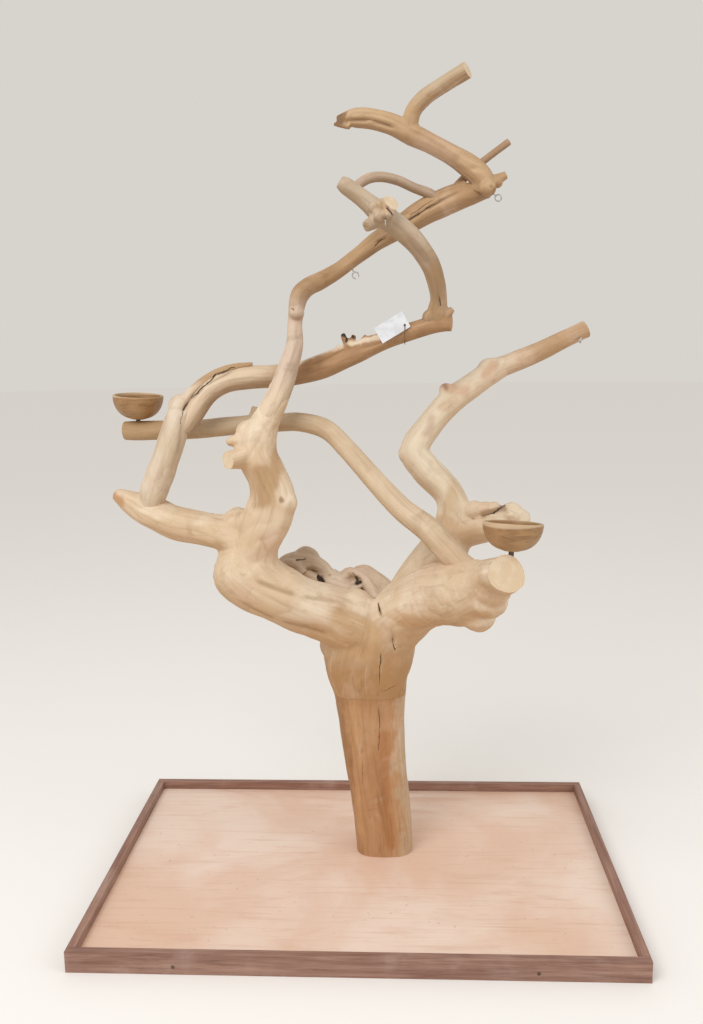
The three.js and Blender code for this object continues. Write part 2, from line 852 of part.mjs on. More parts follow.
const woods = {
  crown,
  right_back_limb: rightBack,
  right_tip: rightTip,
  mid_branch: mid,
  left_riser: riser,
  sweep_branch: sweep,
  hook_branch: hook,
  central_branch: central,
  top_branch: topBranch,
  thin_twig: thinTwig,
  curved_twig: curvedTwig,
};
tree.add(meshFrom("trunk_post", post, "trunk"));
for (const [name, solid] of Object.entries(woods)) tree.add(meshFrom(name, solid, "limb"));
for (const [name, { pin }] of Object.entries(dowels)) tree.add(meshFrom(name, pin, "dowel"));
for (const [name, { eye }] of Object.entries(eyes)) tree.add(meshFrom(name, eye, "steel"));
tree.add(meshFrom("trunk_dowel_left", trunkDowels[0].pin, "dowel"));
tree.add(meshFrom("trunk_dowel_right", trunkDowels[1].pin, "dowel"));
lagPlaces().forEach((place, i) => {
  tree.add(meshFrom(`lag_screw_${i + 1}`, lagScrew(place, lagSeat), "steel"));
  tree.add(meshFrom(`lag_washer_${i + 1}`, washer(place, washerTop), "steel"));
});
for (const [side, parts] of Object.entries({ left: leftBowl, right: rightBowl })) {
  tree.add(meshFrom(`${side}_bowl`, parts.bowl, "bowl"));
  tree.add(meshFrom(`${side}_bowl_screw`, parts.screw, "steel"));
  tree.add(meshFrom(`${side}_bowl_spacer`, parts.spacer, "steel"));
}

// ---- Tag and its band, on the sweep ----
const bandReach = 22 * GIRTH + BAND_SLACK;

// The band goes over the branch, forward through the tag's hole, and back underneath.
const bandMiddle = new THREE.Vector3(TAG_PLACE[0], TAG_PLACE[1], TAG_PLACE[2] * STRETCH);
const holeForward = bandReach + 1.5;
const holeHeight = 0.68 * bandReach;
const bandPoints = [
  [0, bandReach],
  [-0.55 * bandReach, 0.92 * bandReach],
  [-holeForward, holeHeight],
  [-holeForward - 4, 0.4 * bandReach],
  [-holeForward - 3.5, 0],
  [-0.95 * bandReach, -0.5 * bandReach],
  [-0.5 * bandReach, -0.9 * bandReach],
  [0.1 * bandReach, -1.03 * bandReach],
  [0.7 * bandReach, -0.8 * bandReach],
  [1.04 * bandReach, -0.2 * bandReach],
  [0.95 * bandReach, 0.5 * bandReach],
  [0.55 * bandReach, 0.9 * bandReach],
].map(([y, z]) => new THREE.Vector3(0, y, z));
const bandSection = new THREE.Shape().absarc(0, 0, BAND_RADIUS, 0, 2 * Math.PI);
const bandGeometry = new THREE.ExtrudeGeometry(bandSection, {
  steps: 30,
  curveSegments: 4,
  extrudePath: new THREE.CatmullRomCurve3(bandPoints, true),
}).translate(bandMiddle.x, bandMiddle.y, bandMiddle.z);

const tagOutline = new THREE.Shape();
const left = TAG_HOLE_INSET - TAG_LENGTH;
tagOutline.moveTo(left, -TAG_HOLE_INSET);
tagOutline.lineTo(TAG_HOLE_INSET, -TAG_HOLE_INSET);
tagOutline.lineTo(TAG_HOLE_INSET, TAG_WIDTH - TAG_HOLE_INSET);
tagOutline.lineTo(left, TAG_WIDTH - TAG_HOLE_INSET);
tagOutline.closePath();
tagOutline.holes.push(new THREE.Path().absarc(0, 0, TAG_HOLE_RADIUS, 0, 2 * Math.PI, true));
const tagGeometry = new THREE.ExtrudeGeometry(tagOutline, {
  depth: TAG_THICKNESS,
  bevelEnabled: false,
  curveSegments: 10,
})
  .translate(0, 0, -TAG_THICKNESS / 2)
  .rotateZ(THREE.MathUtils.degToRad(TAG_SLOPE))
  .rotateX(Math.PI / 2)
  .translate(bandMiddle.x, bandMiddle.y - holeForward, bandMiddle.z + holeHeight);
tree.add(meshFrom("tag", solidFrom(tagGeometry), "card"));
tree.add(meshFrom("tag_band", solidFrom(bandGeometry), "band"));

const perchTree = new THREE.Group();
perchTree.add(tray, tree);

export default perchTree;
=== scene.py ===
# A free-standing perch tree for pets: a low plywood tray, a squared trunk, natural hardwood
# limbs dowelled together, two turned bowls, screw eyes and a blank card tag.
import json
import math

import bpy
import numpy as np
from mathutils import Matrix, Vector

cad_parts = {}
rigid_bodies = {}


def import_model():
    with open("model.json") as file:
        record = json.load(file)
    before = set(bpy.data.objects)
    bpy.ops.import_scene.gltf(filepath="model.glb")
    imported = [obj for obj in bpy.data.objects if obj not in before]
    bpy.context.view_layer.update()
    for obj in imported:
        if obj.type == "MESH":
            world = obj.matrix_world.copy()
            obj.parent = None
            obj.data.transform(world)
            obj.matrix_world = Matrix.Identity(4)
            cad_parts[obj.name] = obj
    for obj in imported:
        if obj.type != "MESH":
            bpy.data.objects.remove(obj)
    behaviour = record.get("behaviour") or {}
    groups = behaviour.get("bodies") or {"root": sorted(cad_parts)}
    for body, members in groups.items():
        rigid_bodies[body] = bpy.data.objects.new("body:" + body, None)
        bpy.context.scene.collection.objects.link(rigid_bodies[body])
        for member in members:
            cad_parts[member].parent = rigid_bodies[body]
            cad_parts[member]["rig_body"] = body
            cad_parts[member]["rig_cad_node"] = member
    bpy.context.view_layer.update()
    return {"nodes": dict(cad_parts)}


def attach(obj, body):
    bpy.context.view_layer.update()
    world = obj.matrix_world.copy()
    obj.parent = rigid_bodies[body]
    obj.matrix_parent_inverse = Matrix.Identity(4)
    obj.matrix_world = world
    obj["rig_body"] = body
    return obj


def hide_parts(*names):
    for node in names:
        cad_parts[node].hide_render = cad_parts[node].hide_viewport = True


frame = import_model()
nodes = frame["nodes"]
scene = bpy.context.scene


# ------------------------------
# Studio: a plain pale floor, a pale surround, one large soft light from the front left and a
# weaker one from the right. The camera stands a little above the middle of the tree.
def shade(hexcode, alpha=1.0):
    """A colour written as on a paint card, as the renderer wants it."""
    values = [int(hexcode[i : i + 2], 16) / 255 for i in (1, 3, 5)]
    linear = [v / 12.92 if v <= 0.04045 else ((v + 0.055) / 1.055) ** 2.4 for v in values]
    return (*linear, alpha)


def put(tree, kind, inputs=None, **settings):
    """Adds a node, sets what it is and what goes in."""
    made = tree.nodes.new(kind)
    for key, value in settings.items():
        setattr(made, key, value)
    for key, value in (inputs or {}).items():
        if isinstance(value, bpy.types.NodeSocket):
            tree.links.new(value, made.inputs[key])
        else:
            made.inputs[key].default_value = value
    return made


camera_data = bpy.data.cameras.new("camera")
camera_data.sensor_fit = "VERTICAL"
camera_data.sensor_height = 36
camera_data.lens = 33.6
CAMERA_PLACE = (0.1005, -2.1911, 1.295)
CAMERA_TURN, CAMERA_TILT, CAMERA_ROLL = 2.94, 80.07, -0.86  # degrees
camera = bpy.data.objects.new("camera", camera_data)
scene.collection.objects.link(camera)
camera.matrix_world = (
    Matrix.Translation(CAMERA_PLACE)
    @ Matrix.Rotation(math.radians(CAMERA_TURN), 4, "Z")
    @ Matrix.Rotation(math.radians(CAMERA_TILT), 4, "X")
    @ Matrix.Rotation(math.radians(CAMERA_ROLL), 4, "Z")
)
scene.camera = camera
scene.view_settings.view_transform = "Standard"


def soft_light(name, place, target, size, power):
    """A round white lamp that looks at a point of the tree."""
    data = bpy.data.lights.new(name, "AREA")
    data.shape = "DISK"
    data.size = size
    data.energy = power
    light = bpy.data.objects.new(name, data)
    scene.collection.objects.link(light)
    light.location = place
    light.rotation_euler = (Vector(target) - Vector(place)).to_track_quat("-Z", "Y").to_euler()


LAMP_SIZE = 2.4
soft_light("key_light", (-1.6, -2.6, 3.6), (0, 0, 0.8), LAMP_SIZE, 70)
soft_light("fill_light", (2.8, -1.2, 2.2), (0, 0, 0.9), LAMP_SIZE, 16)

surround = bpy.data.worlds.new("surround")
scene.world = surround
surround.use_nodes = True
sky = surround.node_tree.nodes["Background"].inputs
sky["Color"].default_value = shade("#e6e2dc")
sky["Strength"].default_value = 0.86

bpy.ops.object.select_all(action="DESELECT")
FLOOR_RADIUS = 30
bpy.ops.mesh.primitive_circle_add(vertices=96, radius=FLOOR_RADIUS, fill_type="NGON")
floor = bpy.context.object
floor.name = "studio_floor"
floor_material = bpy.data.materials.new("studio_floor")
floor_material.use_nodes = True
floor_finish = floor_material.node_tree.nodes["Principled BSDF"].inputs
floor_finish["Base Color"].default_value = shade("#fdfcfa")
floor_finish["Roughness"].default_value = 1.0
floor_finish["Specular IOR Level"].default_value = 0.0
floor.data.materials.append(floor_material)


# ------------------------------
# Tray panel: one sheet of light plywood, rotary-cut face veneer with soft figure along its
# length, clear matt lacquer. The panel sits in the rails and the tree is bolted up through it.
def mixed(tree, amount, first, second, how="MIX"):
    """One colour laid over another."""
    made = put(tree, "ShaderNodeMix", data_type="RGBA", blend_type=how)
    for place, value in ((0, amount), (6, first), (7, second)):
        if isinstance(value, bpy.types.NodeSocket):
            tree.links.new(value, made.inputs[place])
        else:
            made.inputs[place].default_value = value
    return made.outputs[2]


def banded(tree, value, low, high, least=0.0, most=1.0):
    """A value spread between two limits, smoothly."""
    made = put(
        tree,
        "ShaderNodeMapRange",
        {"Value": value, "From Min": low, "From Max": high, "To Min": least, "To Max": most},
        interpolation_type="SMOOTHSTEP",
    )
    return made.outputs["Result"]


def stretched(tree, source, scale):
    """A place to read a pattern at, finer one way than another, as wood fibres are."""
    return put(tree, "ShaderNodeMapping", {"Vector": source, "Scale": scale}).outputs["Vector"]


def noise(tree, source, scale, detail=3.0, rough=0.5, twist=0.0):
    """A cloudy pattern, between nothing and one."""
    given = {"Vector": source, "Scale": scale, "Detail": detail}
    given |= {"Roughness": rough, "Distortion": twist}
    return put(tree, "ShaderNodeTexNoise", given).outputs["Fac"]


def finished(tree, colour, roughness, height, depth, strength):
    """Closes a material: colour, roughness and a fine relief go to its shader."""
    given = {"Height": height, "Distance": depth, "Strength": strength}
    bump = put(tree, "ShaderNodeBump", given).outputs["Normal"]
    given = {"Base Color": colour, "Roughness": roughness, "Normal": bump}
    shader = put(tree, "ShaderNodeBsdfPrincipled", given)
    put(tree, "ShaderNodeOutputMaterial", {"Surface": shader.outputs["BSDF"]})
    return shader


def blank(name):
    """A material to fill, its nodes, and the place on the piece that its patterns read."""
    material = bpy.data.materials.new(name)
    material.use_nodes = True
    tree = material.node_tree
    tree.nodes.clear()
    return material, tree, put(tree, "ShaderNodeTexCoord").outputs["Object"]


def coated(piece, material):
    """Gives a piece one material in place of any that it has."""
    piece.data.materials.clear()
    piece.data.materials.append(material)


def plywood():
    material, tree, place = blank("lacquered_plywood")
    figure = noise(tree, stretched(tree, place, (1.4, 26, 26)), 3.2, 6, 0.62, 0.4)
    fine = noise(tree, stretched(tree, place, (6, 160, 160)), 3.0, 4, 0.6)
    cloud = noise(tree, place, 2.6, 4, 0.55, 0.6)
    flame = noise(tree, stretched(tree, place, (0.8, 3.2, 3.2)), 2.4, 5, 0.6, 2.2)
    colour = mixed(tree, banded(tree, cloud, 0.36, 0.66), shade("#e8c5ae"), shade("#f2dccd"))
    colour = mixed(tree, banded(tree, flame, 0.5, 0.72, 0, 0.45), colour, shade("#dbb096"))
    colour = mixed(tree, banded(tree, figure, 0.5, 0.74, 0, 0.4), colour, shade("#d2a486"))
    colour = mixed(tree, banded(tree, fine, 0.56, 0.78, 0, 0.35), colour, shade("#c2967a"))
    speck = noise(tree, place, 90, 2, 0.5)
    colour = mixed(tree, banded(tree, speck, 0.68, 0.78, 0, 0.35), colour, shade("#a8755a"))
    sheen = banded(tree, cloud, 0.3, 0.7, 0.42, 0.6)
    finished(tree, colour, sheen, fine, 0.0004, 0.25)
    return material


coated(nodes["tray_panel"], plywood())


# ------------------------------
# Rails: four lengths of dark reddish hardwood, planed, edges eased by hand, butt-jointed at the
# corners and screwed into the panel's edge. They stand a little above the panel as a lip.
def rail_wood(name, runs_along_x):
    material, tree, place = blank(name)
    figure_scale = (1.6, 34, 34) if runs_along_x else (34, 1.6, 34)
    figure = noise(tree, stretched(tree, place, figure_scale), 3.0, 7, 0.65, 0.5)
    pore_scale = (5, 220, 220) if runs_along_x else (220, 5, 220)
    pores = noise(tree, stretched(tree, place, pore_scale), 3.0, 3, 0.6)
    worn = noise(tree, place, 7, 4, 0.6, 0.4)
    colour = mixed(tree, banded(tree, figure, 0.3, 0.7), shade("#80594a"), shade("#a88373"))
    colour = mixed(tree, banded(tree, worn, 0.5, 0.75, 0, 0.4), colour, shade("#bfa497"))
    colour = mixed(tree, banded(tree, pores, 0.58, 0.72, 0, 0.6), colour, shade("#553a2e"))
    finished(tree, colour, banded(tree, figure, 0.2, 0.8, 0.5, 0.68), pores, 0.0005, 0.3)
    return material


def picked(piece):
    """Selects one piece and nothing else."""
    bpy.ops.object.select_all(action="DESELECT")
    piece.select_set(True)
    bpy.context.view_layer.objects.active = piece


def copied(node, name):
    """A copy of a CAD node's mesh, its loose triangles joined, as a piece of its own."""
    piece = nodes[node].copy()
    piece.data = nodes[node].data.copy()
    piece.parent = None
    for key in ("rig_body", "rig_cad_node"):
        if key in piece:
            del piece[key]
    piece.name = name
    scene.collection.objects.link(piece)
    picked(piece)
    bpy.ops.object.mode_set(mode="EDIT")
    bpy.ops.mesh.select_all(action="SELECT")
    bpy.ops.mesh.remove_doubles(threshold=0.00001)
    bpy.ops.mesh.tris_convert_to_quads()
    bpy.ops.mesh.dissolve_limited(angle_limit=math.radians(1))
    bpy.ops.object.mode_set(mode="OBJECT")
    return piece


def use(piece, name, kind, **settings):
    """A modifier put on and applied."""
    bpy.context.view_layer.objects.active = piece
    modifier = piece.modifiers.new(name, kind)
    for key, value in settings.items():
        setattr(modifier, key, value)
    bpy.ops.object.modifier_apply(modifier=modifier.name)


EASING = {"width": 0.0012, "segments": 3, "limit_method": "ANGLE", "angle_limit": 0.6}
long_wood = rail_wood("rail_wood_long", True)
short_wood = rail_wood("rail_wood_short", False)
for side in ("front", "back", "left", "right"):
    rail = copied("rail_" + side, "eased_rail_" + side)
    use(rail, "eased_edges", "BEVEL", **EASING)
    coated(rail, long_wood if side in ("front", "back") else short_wood)
    bpy.ops.object.shade_smooth_by_angle(angle=math.radians(35))
    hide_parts("rail_" + side)
    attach(rail, "stand")


# ------------------------------
# Steel: zinc-plated wood screws in the rails, lag screws and washers under the panel, and the
# screws and spacers of the bowls. The rail screws are browned so that they hardly show.
def plated_steel():
    material, tree, place = blank("plated_steel")
    scratch = noise(tree, place, 900, 4, 0.6)
    cloud = noise(tree, place, 160, 3, 0.5)
    colour = mixed(tree, banded(tree, cloud, 0.35, 0.7), shade("#b4b5b3"), shade("#d2d2ce"))
    gloss = banded(tree, scratch, 0.3, 0.7, 0.22, 0.42)
    shader = finished(tree, colour, gloss, scratch, 0.0001, 0.2)
    shader.inputs["Metallic"].default_value = 1.0
    return material


def blackened_steel():
    material, tree, place = blank("blackened_steel")
    wear = noise(tree, place, 420, 4, 0.6)
    colour = mixed(tree, banded(tree, wear, 0.4, 0.75), shade("#5a4238"), shade("#8a7062"))
    shader = finished(tree, colour, banded(tree, wear, 0.3, 0.7, 0.45, 0.6), wear, 0.0001, 0.2)
    shader.inputs["Metallic"].default_value = 0.4
    return material


steel = plated_steel()
dark_steel = blackened_steel()
for name, node in nodes.items():
    if name.startswith(("rail_screw", "lag_")) or name.endswith(("_bowl_screw", "_spacer")):
        dark = name.startswith("rail") or name.endswith("_spacer")
        coated(node, dark_steel if dark else steel)


# ------------------------------
# Dowels: plain birch pins glued into bores where limb meets limb. They don't show on the
# finished tree.
def birch():
    material, tree, place = blank("birch_dowel")
    grain = noise(tree, stretched(tree, place, (120, 120, 12)), 3, 5, 0.6)
    colour = mixed(tree, banded(tree, grain, 0.3, 0.7), shade("#d8c39a"), shade("#c3a877"))
    finished(tree, colour, banded(tree, grain, 0.2, 0.8, 0.6, 0.75), grain, 0.0003, 0.2)
    return material


birch_wood = birch()
for name, node in nodes.items():
    if "dowel" in name:
        coated(node, birch_wood)


# ------------------------------
# Trunk post: a squared hardwood log, debarked and sanded, warm brown with long straight streaks.
# It stands on the panel, lag-screwed from below, and is dowelled to the crown at a hairline seam.
FOOT = Vector((0.056, 0.080, 0.026))  # the middle of the tree's foot, on the panel
COARSE = 1.0

TRUNK_ROUTE = [
    (2, 0, -30, 70), (-1, 0, 50, 72), (-8, 0, 125, 73), (-25, -2, 283, 78), (-31, -6, 411, 87),
    (-34, -14, 500, 104), (-15, -17, 580, 98), (-10, -18, 640, 60),
]


def at(place):
    """A place of the tree, given in millimetres from its foot, where it is in the room."""
    return FOOT + Vector(place) / 1000


def spine(route, steps=8, run_on=0.0):
    """A smooth line through a limb's middle: its points, its thickness, and two directions
    across it at each point, carried along so that they don't twist. It may run on straight past
    its end, where a saw cut will be."""
    knots = np.array([[v / 1000 for v in point[:3]] for point in route]) + np.array(FOOT)
    thick = np.array([point[3] / 1000 for point in route])
    before = np.vstack([2 * knots[0] - knots[1], knots, 2 * knots[-1] - knots[-2]])
    widths = np.concatenate([thick[:1], thick, thick[-1:]])
    points, radii = [], []
    for i in range(1, len(before) - 2):
        a, b, c, d = before[i - 1 : i + 3]
        g0, g1, g2 = (max(np.linalg.norm(q - p), 1e-6) ** 0.5 for p, q in ((a, b), (b, c), (c, d)))
        out = ((b - a) / g0 - (c - a) / (g0 + g1) + (c - b) / g1) * g1
        into = ((c - b) / g1 - (d - b) / (g1 + g2) + (d - c) / g2) * g1
        w0, w1, w2, w3 = widths[i - 1 : i + 3]
        for t in np.arange(steps) / steps:
            curve = b + out * t + (3 * (c - b) - 2 * out - into) * t**2
            points.append(curve + (2 * (b - c) + out + into) * t**3)
            swell = (2 * w0 - 5 * w1 + 4 * w2 - w3) * t**2 + (3 * w1 - w0 - 3 * w2 + w3) * t**3
            radii.append(w1 + 0.5 * ((w2 - w0) * t + swell))
    points.append(before[-2])
    radii.append(widths[-2])
    end = len(points) - 1
    if run_on:
        onward = points[-1] - points[-2]
        onward /= np.linalg.norm(onward)
        for share in (1 / 3, 2 / 3, 1):
            points.append(points[end] + onward * run_on * share)
            radii.append(radii[end])
    points, radii = np.array(points), np.array(radii)
    ahead = np.gradient(points, axis=0)
    ahead /= np.linalg.norm(ahead, axis=1)[:, None]
    side = np.array([1.0, 0, 0]) if abs(ahead[0][0]) < 0.8 else np.array([0, 0, 1.0])
    across = []
    for direction in ahead:
        side = side - side.dot(direction) * direction
        side /= np.linalg.norm(side)
        across.append(side)
    across = np.array(across)
    run = np.concatenate([[0], np.cumsum(np.linalg.norm(np.diff(points, axis=0), axis=1))])
    return {
        "points": points,
        "radii": radii,
        "ahead": ahead,
        "across": across,
        "over": np.cross(ahead, across),
        "run": run,
        "end": end,
    }


def stem(line, sides=28, depth=1.0, corner=2.0):
    """The skin of one limb, closed at both ends. A corner above 2 squares its section."""
    turn = np.arange(sides) * 2 * math.pi / sides
    x, y = np.cos(turn), np.sin(turn)
    round_ = (abs(x) ** corner + abs(y) ** corner) ** (1 / corner)
    x, y = x / round_, y / round_ * depth
    vertices, faces = [], []
    for i, middle in enumerate(line["points"]):
        ring = middle + line["radii"][i] * (
            x[:, None] * line["across"][i] + y[:, None] * line["over"][i]
        )
        vertices.extend(ring.tolist())
    rings = len(line["points"])
    for i in range(rings - 1):
        for j in range(sides):
            k = (j + 1) % sides
            faces.append((i * sides + j, i * sides + k, (i + 1) * sides + k, (i + 1) * sides + j))
    faces.append(tuple(reversed(range(sides))))
    faces.append(tuple((rings - 1) * sides + j for j in range(sides)))
    return vertices, faces


def raised(name, skins, swellings=()):
    """One object from the skins of several limbs, with round swellings where they meet."""
    vertices, faces = [], []
    for some_vertices, some_faces in skins:
        start = len(vertices)
        vertices += some_vertices
        faces += [tuple(start + v for v in face) for face in some_faces]
    data = bpy.data.meshes.new(name)
    data.from_pydata(vertices, [], faces)
    piece = bpy.data.objects.new(name, data)
    scene.collection.objects.link(piece)
    lumps = []
    for x, y, z, radius in swellings:
        size = radius / 1000
        bpy.ops.mesh.primitive_ico_sphere_add(subdivisions=4, radius=size, location=at((x, y, z)))
        lumps.append(bpy.context.object)
    picked(piece)
    for lump in lumps:
        lump.select_set(True)
    if lumps:
        bpy.ops.object.join()
    return piece


def nearest(line, points):
    """Where points lie beside a limb: distance past its skin, across, over and along it."""
    batch = 4000
    found = np.empty(len(points), int)
    for start in range(0, len(points), batch):
        part = points[start : start + batch]
        gaps = ((part[:, None] - line["points"][None]) ** 2).sum(-1)
        found[start : start + batch] = (np.sqrt(gaps) - line["radii"][None]).argmin(1)
    off = points - line["points"][found]
    x = (off * line["across"][found]).sum(1)
    y = (off * line["over"][found]).sum(1)
    ahead = (off * line["ahead"][found]).sum(1)
    girth = line["radii"][found]
    past = np.sqrt(x**2 + y**2 + ahead**2) - girth
    return past, x, y, line["run"][found] + ahead, girth


def flowing(x, y, run, girth, seed):
    """Relief that runs along a limb as its fibres do: broad flutes and narrow furrows.
    Gives a height, as a share of the limb's thickness, and how deep in a furrow a point is."""
    rng = np.random.default_rng(seed)
    turn = np.arctan2(y, x)

    def drift(least, most, size):
        lengths = rng.uniform(least, most, 3)
        starts = rng.uniform(0, 2 * math.pi, 3)
        return size * sum(np.sin(2 * math.pi * run / l + s) for l, s in zip(lengths, starts)) / 3

    broad = np.zeros_like(run)
    for waves, size in ((1, 0.8), (2, 1.1), (3, 0.9)):
        phase = rng.uniform(0, 2 * math.pi) + drift(0.2, 0.6, 3.4)
        broad += size * np.sin(waves * turn + phase) * (0.6 + drift(0.16, 0.4, 1.0))
    fine = np.zeros_like(run)
    for waves, size in ((3, 1.0), (4, 0.9), (6, 0.7), (9, 0.45), (13, 0.3)):
        phase = rng.uniform(0, 2 * math.pi) + drift(0.16, 0.6, 4.6)
        fine += size * np.sin(waves * turn + phase) * (0.6 + drift(0.12, 0.3, 1.1))
    ridge = np.sqrt(np.abs(fine) * 0.55 + 0.04)
    furrow = np.clip(1 - ridge / 0.5, 0, 1)
    knotty = np.sin(turn + rng.uniform(0, 6)) * drift(0.07, 0.16, 1.0) + drift(0.2, 0.5, 0.7)
    height = 0.030 * broad + 0.034 * (np.minimum(ridge, 1.1) - 0.62) + 0.020 * knotty
    return height, furrow


DEPTH_SHARE = 0.34


def along(points, start, end):
    """How far points are from a straight line between two of the tree's places. Depth counts
    for a third, so that a line drawn on the front of a limb reaches its skin."""
    squash = np.array([1, DEPTH_SHARE, 1])
    a = (np.array(FOOT) + np.array(start) / 1000) * squash
    b = (np.array(FOOT) + np.array(end) / 1000) * squash
    p = points * squash
    share = np.clip(((p - a) @ (b - a)) / max((b - a) @ (b - a), 1e-9), 0, 1)
    return np.linalg.norm(p - a - share[:, None] * (b - a), axis=1), share


def fibred(piece, lines, seed, relief=1.0, marks=(), grooves=(), most=0.004, smooth_first=False):
    """Presses the fibre relief, knots, grooves and pits into a limb's skin, and writes on each
    vertex where it lies in the straightened limb and how deep in a furrow, for the wood to read.
    A mark is (x, y, z, reach, height) and a groove (start, end, width, depth), in millimetres."""
    mesh = piece.data
    count = len(mesh.vertices)
    points, normals = np.empty((2, count * 3), np.float32)
    mesh.vertices.foreach_get("co", points)
    mesh.vertices.foreach_get("normal", normals)
    points, normals = (v.reshape(-1, 3).astype(float) for v in (points, normals))
    best, second = np.full((2, count), np.inf)
    fibre = np.zeros((count, 3))
    height, furrow, next_height, next_furrow = np.zeros((4, count))
    for i, line in enumerate(lines):
        past, x, y, run, girth = nearest(line, points)
        rise, depth = flowing(x, y, run, girth, seed * 31 + i)
        rise = rise * girth * (0.3 if smooth_first and i == 0 else 1)
        nearer = past < best
        next_up = ~nearer & (past < second)
        second = np.where(nearer, best, np.where(next_up, past, second))
        next_height = np.where(nearer, height, np.where(next_up, rise, next_height))
        next_furrow = np.where(nearer, furrow, np.where(next_up, depth, next_furrow))
        best = np.where(nearer, past, best)
        height = np.where(nearer, rise, height)
        furrow = np.where(nearer, depth, furrow)
        spot = np.column_stack([x + i * 0.37, y, run + i * 1.7])
        fibre = np.where(nearer[:, None], spot, fibre)
    blend = 0.03  # where two limbs meet, their relief runs together over this width
    share = np.clip(0.5 + (second - best) / blend, 0.5, 1)
    height = height * share + next_height * (1 - share)
    furrow = furrow * share + next_furrow * (1 - share)
    offset = np.clip(height * relief, -most, most)
    for mx, my, mz, reach, rise in marks:
        middle = np.array(FOOT) + np.array([mx, my, mz]) / 1000
        gap = np.linalg.norm(points - middle, axis=1) / (reach / 1000)
        offset += rise / 1000 * np.exp(-(gap**2))
        if rise < 0:
            furrow = np.maximum(furrow, np.exp(-(gap**2)))
    facing = np.clip(0.7 - normals[:, 1], 0, 1)  # grooves are cut in the front only
    for start, end, width, depth in grooves:
        gap, share = along(points, start, end)
        ends = np.clip(4 * np.minimum(share, 1 - share) + 0.35, 0, 1)
        amount = np.exp(-((gap * 1000 / width) ** 2)) * facing * ends
        offset -= depth / 1000 * amount
        furrow = np.maximum(furrow, amount * min(max(depth, 0) / 5, 1))
    moved = points + normals * offset[:, None]
    mesh.vertices.foreach_set("co", moved.astype(np.float32).ravel())
    for label, kind, values in (
        ("fibre", "FLOAT_VECTOR", fibre.astype(np.float32).ravel()),
        ("furrow", "FLOAT", furrow.astype(np.float32)),
    ):
        attribute = mesh.attributes.new(label, kind, "POINT")
        attribute.data.foreach_set("vector" if kind == "FLOAT_VECTOR" else "value", values)
    mesh.update()


def sawn(piece, place, direction, reach):
    """Cuts a limb off square with a saw and gives the cut face the second material."""
    place, direction = Vector(place), Vector(direction).normalized()
    picked(piece)
    mesh = piece.data
    bpy.ops.object.mode_set(mode="EDIT")
    bpy.ops.mesh.select_mode(type="VERT")
    bpy.ops.mesh.select_all(action="DESELECT")
    bpy.ops.object.mode_set(mode="OBJECT")
    near = [(v.co - place).length < reach for v in mesh.vertices]
    mesh.vertices.foreach_set("select", near)
    bpy.ops.object.mode_set(mode="EDIT")
    bpy.ops.mesh.select_mode(type="FACE")
    bpy.ops.mesh.bisect(plane_co=place, plane_no=direction, use_fill=True, clear_outer=True)
    bpy.ops.object.mode_set(mode="OBJECT")
    for face in mesh.polygons:
        flat = abs((face.center - place).dot(direction)) < 0.0003
        if flat and face.normal.dot(direction) > 0.99 and (face.center - place).length < reach:
            face.material_index = 1


def line_mark():
    """How near a point is to a straight line between two others, as a group of nodes."""
    group = bpy.data.node_groups.new("line_mark", "ShaderNodeTree")
    for label in ("Point", "From", "To", "Width", "Amount"):
        kind = "NodeSocketFloat" if label in ("Width", "Amount") else "NodeSocketVector"
        way = "OUTPUT" if label == "Amount" else "INPUT"
        group.interface.new_socket(name=label, in_out=way, socket_type=kind)
    given = put(group, "NodeGroupInput").outputs

    def between(how, first, second):
        return put(group, "ShaderNodeVectorMath", {0: first, 1: second}, operation=how).outputs

    reach = between("SUBTRACT", given["To"], given["From"])[0]
    off = between("SUBTRACT", given["Point"], given["From"])[0]
    part = {
        0: between("DOT_PRODUCT", off, reach)["Value"],
        1: between("DOT_PRODUCT", reach, reach)["Value"],
    }
    share = put(group, "ShaderNodeMath", part, operation="DIVIDE", use_clamp=True).outputs[0]
    foot = put(group, "ShaderNodeVectorMath", {0: reach, "Scale": share}, operation="SCALE")
    gap = between("DISTANCE", off, foot.outputs[0])["Value"]
    put(group, "NodeGroupOutput", {"Amount": banded(group, gap, 0.0, given["Width"], 1.0, 0.0)})
    return group


LINE_MARK = line_mark()


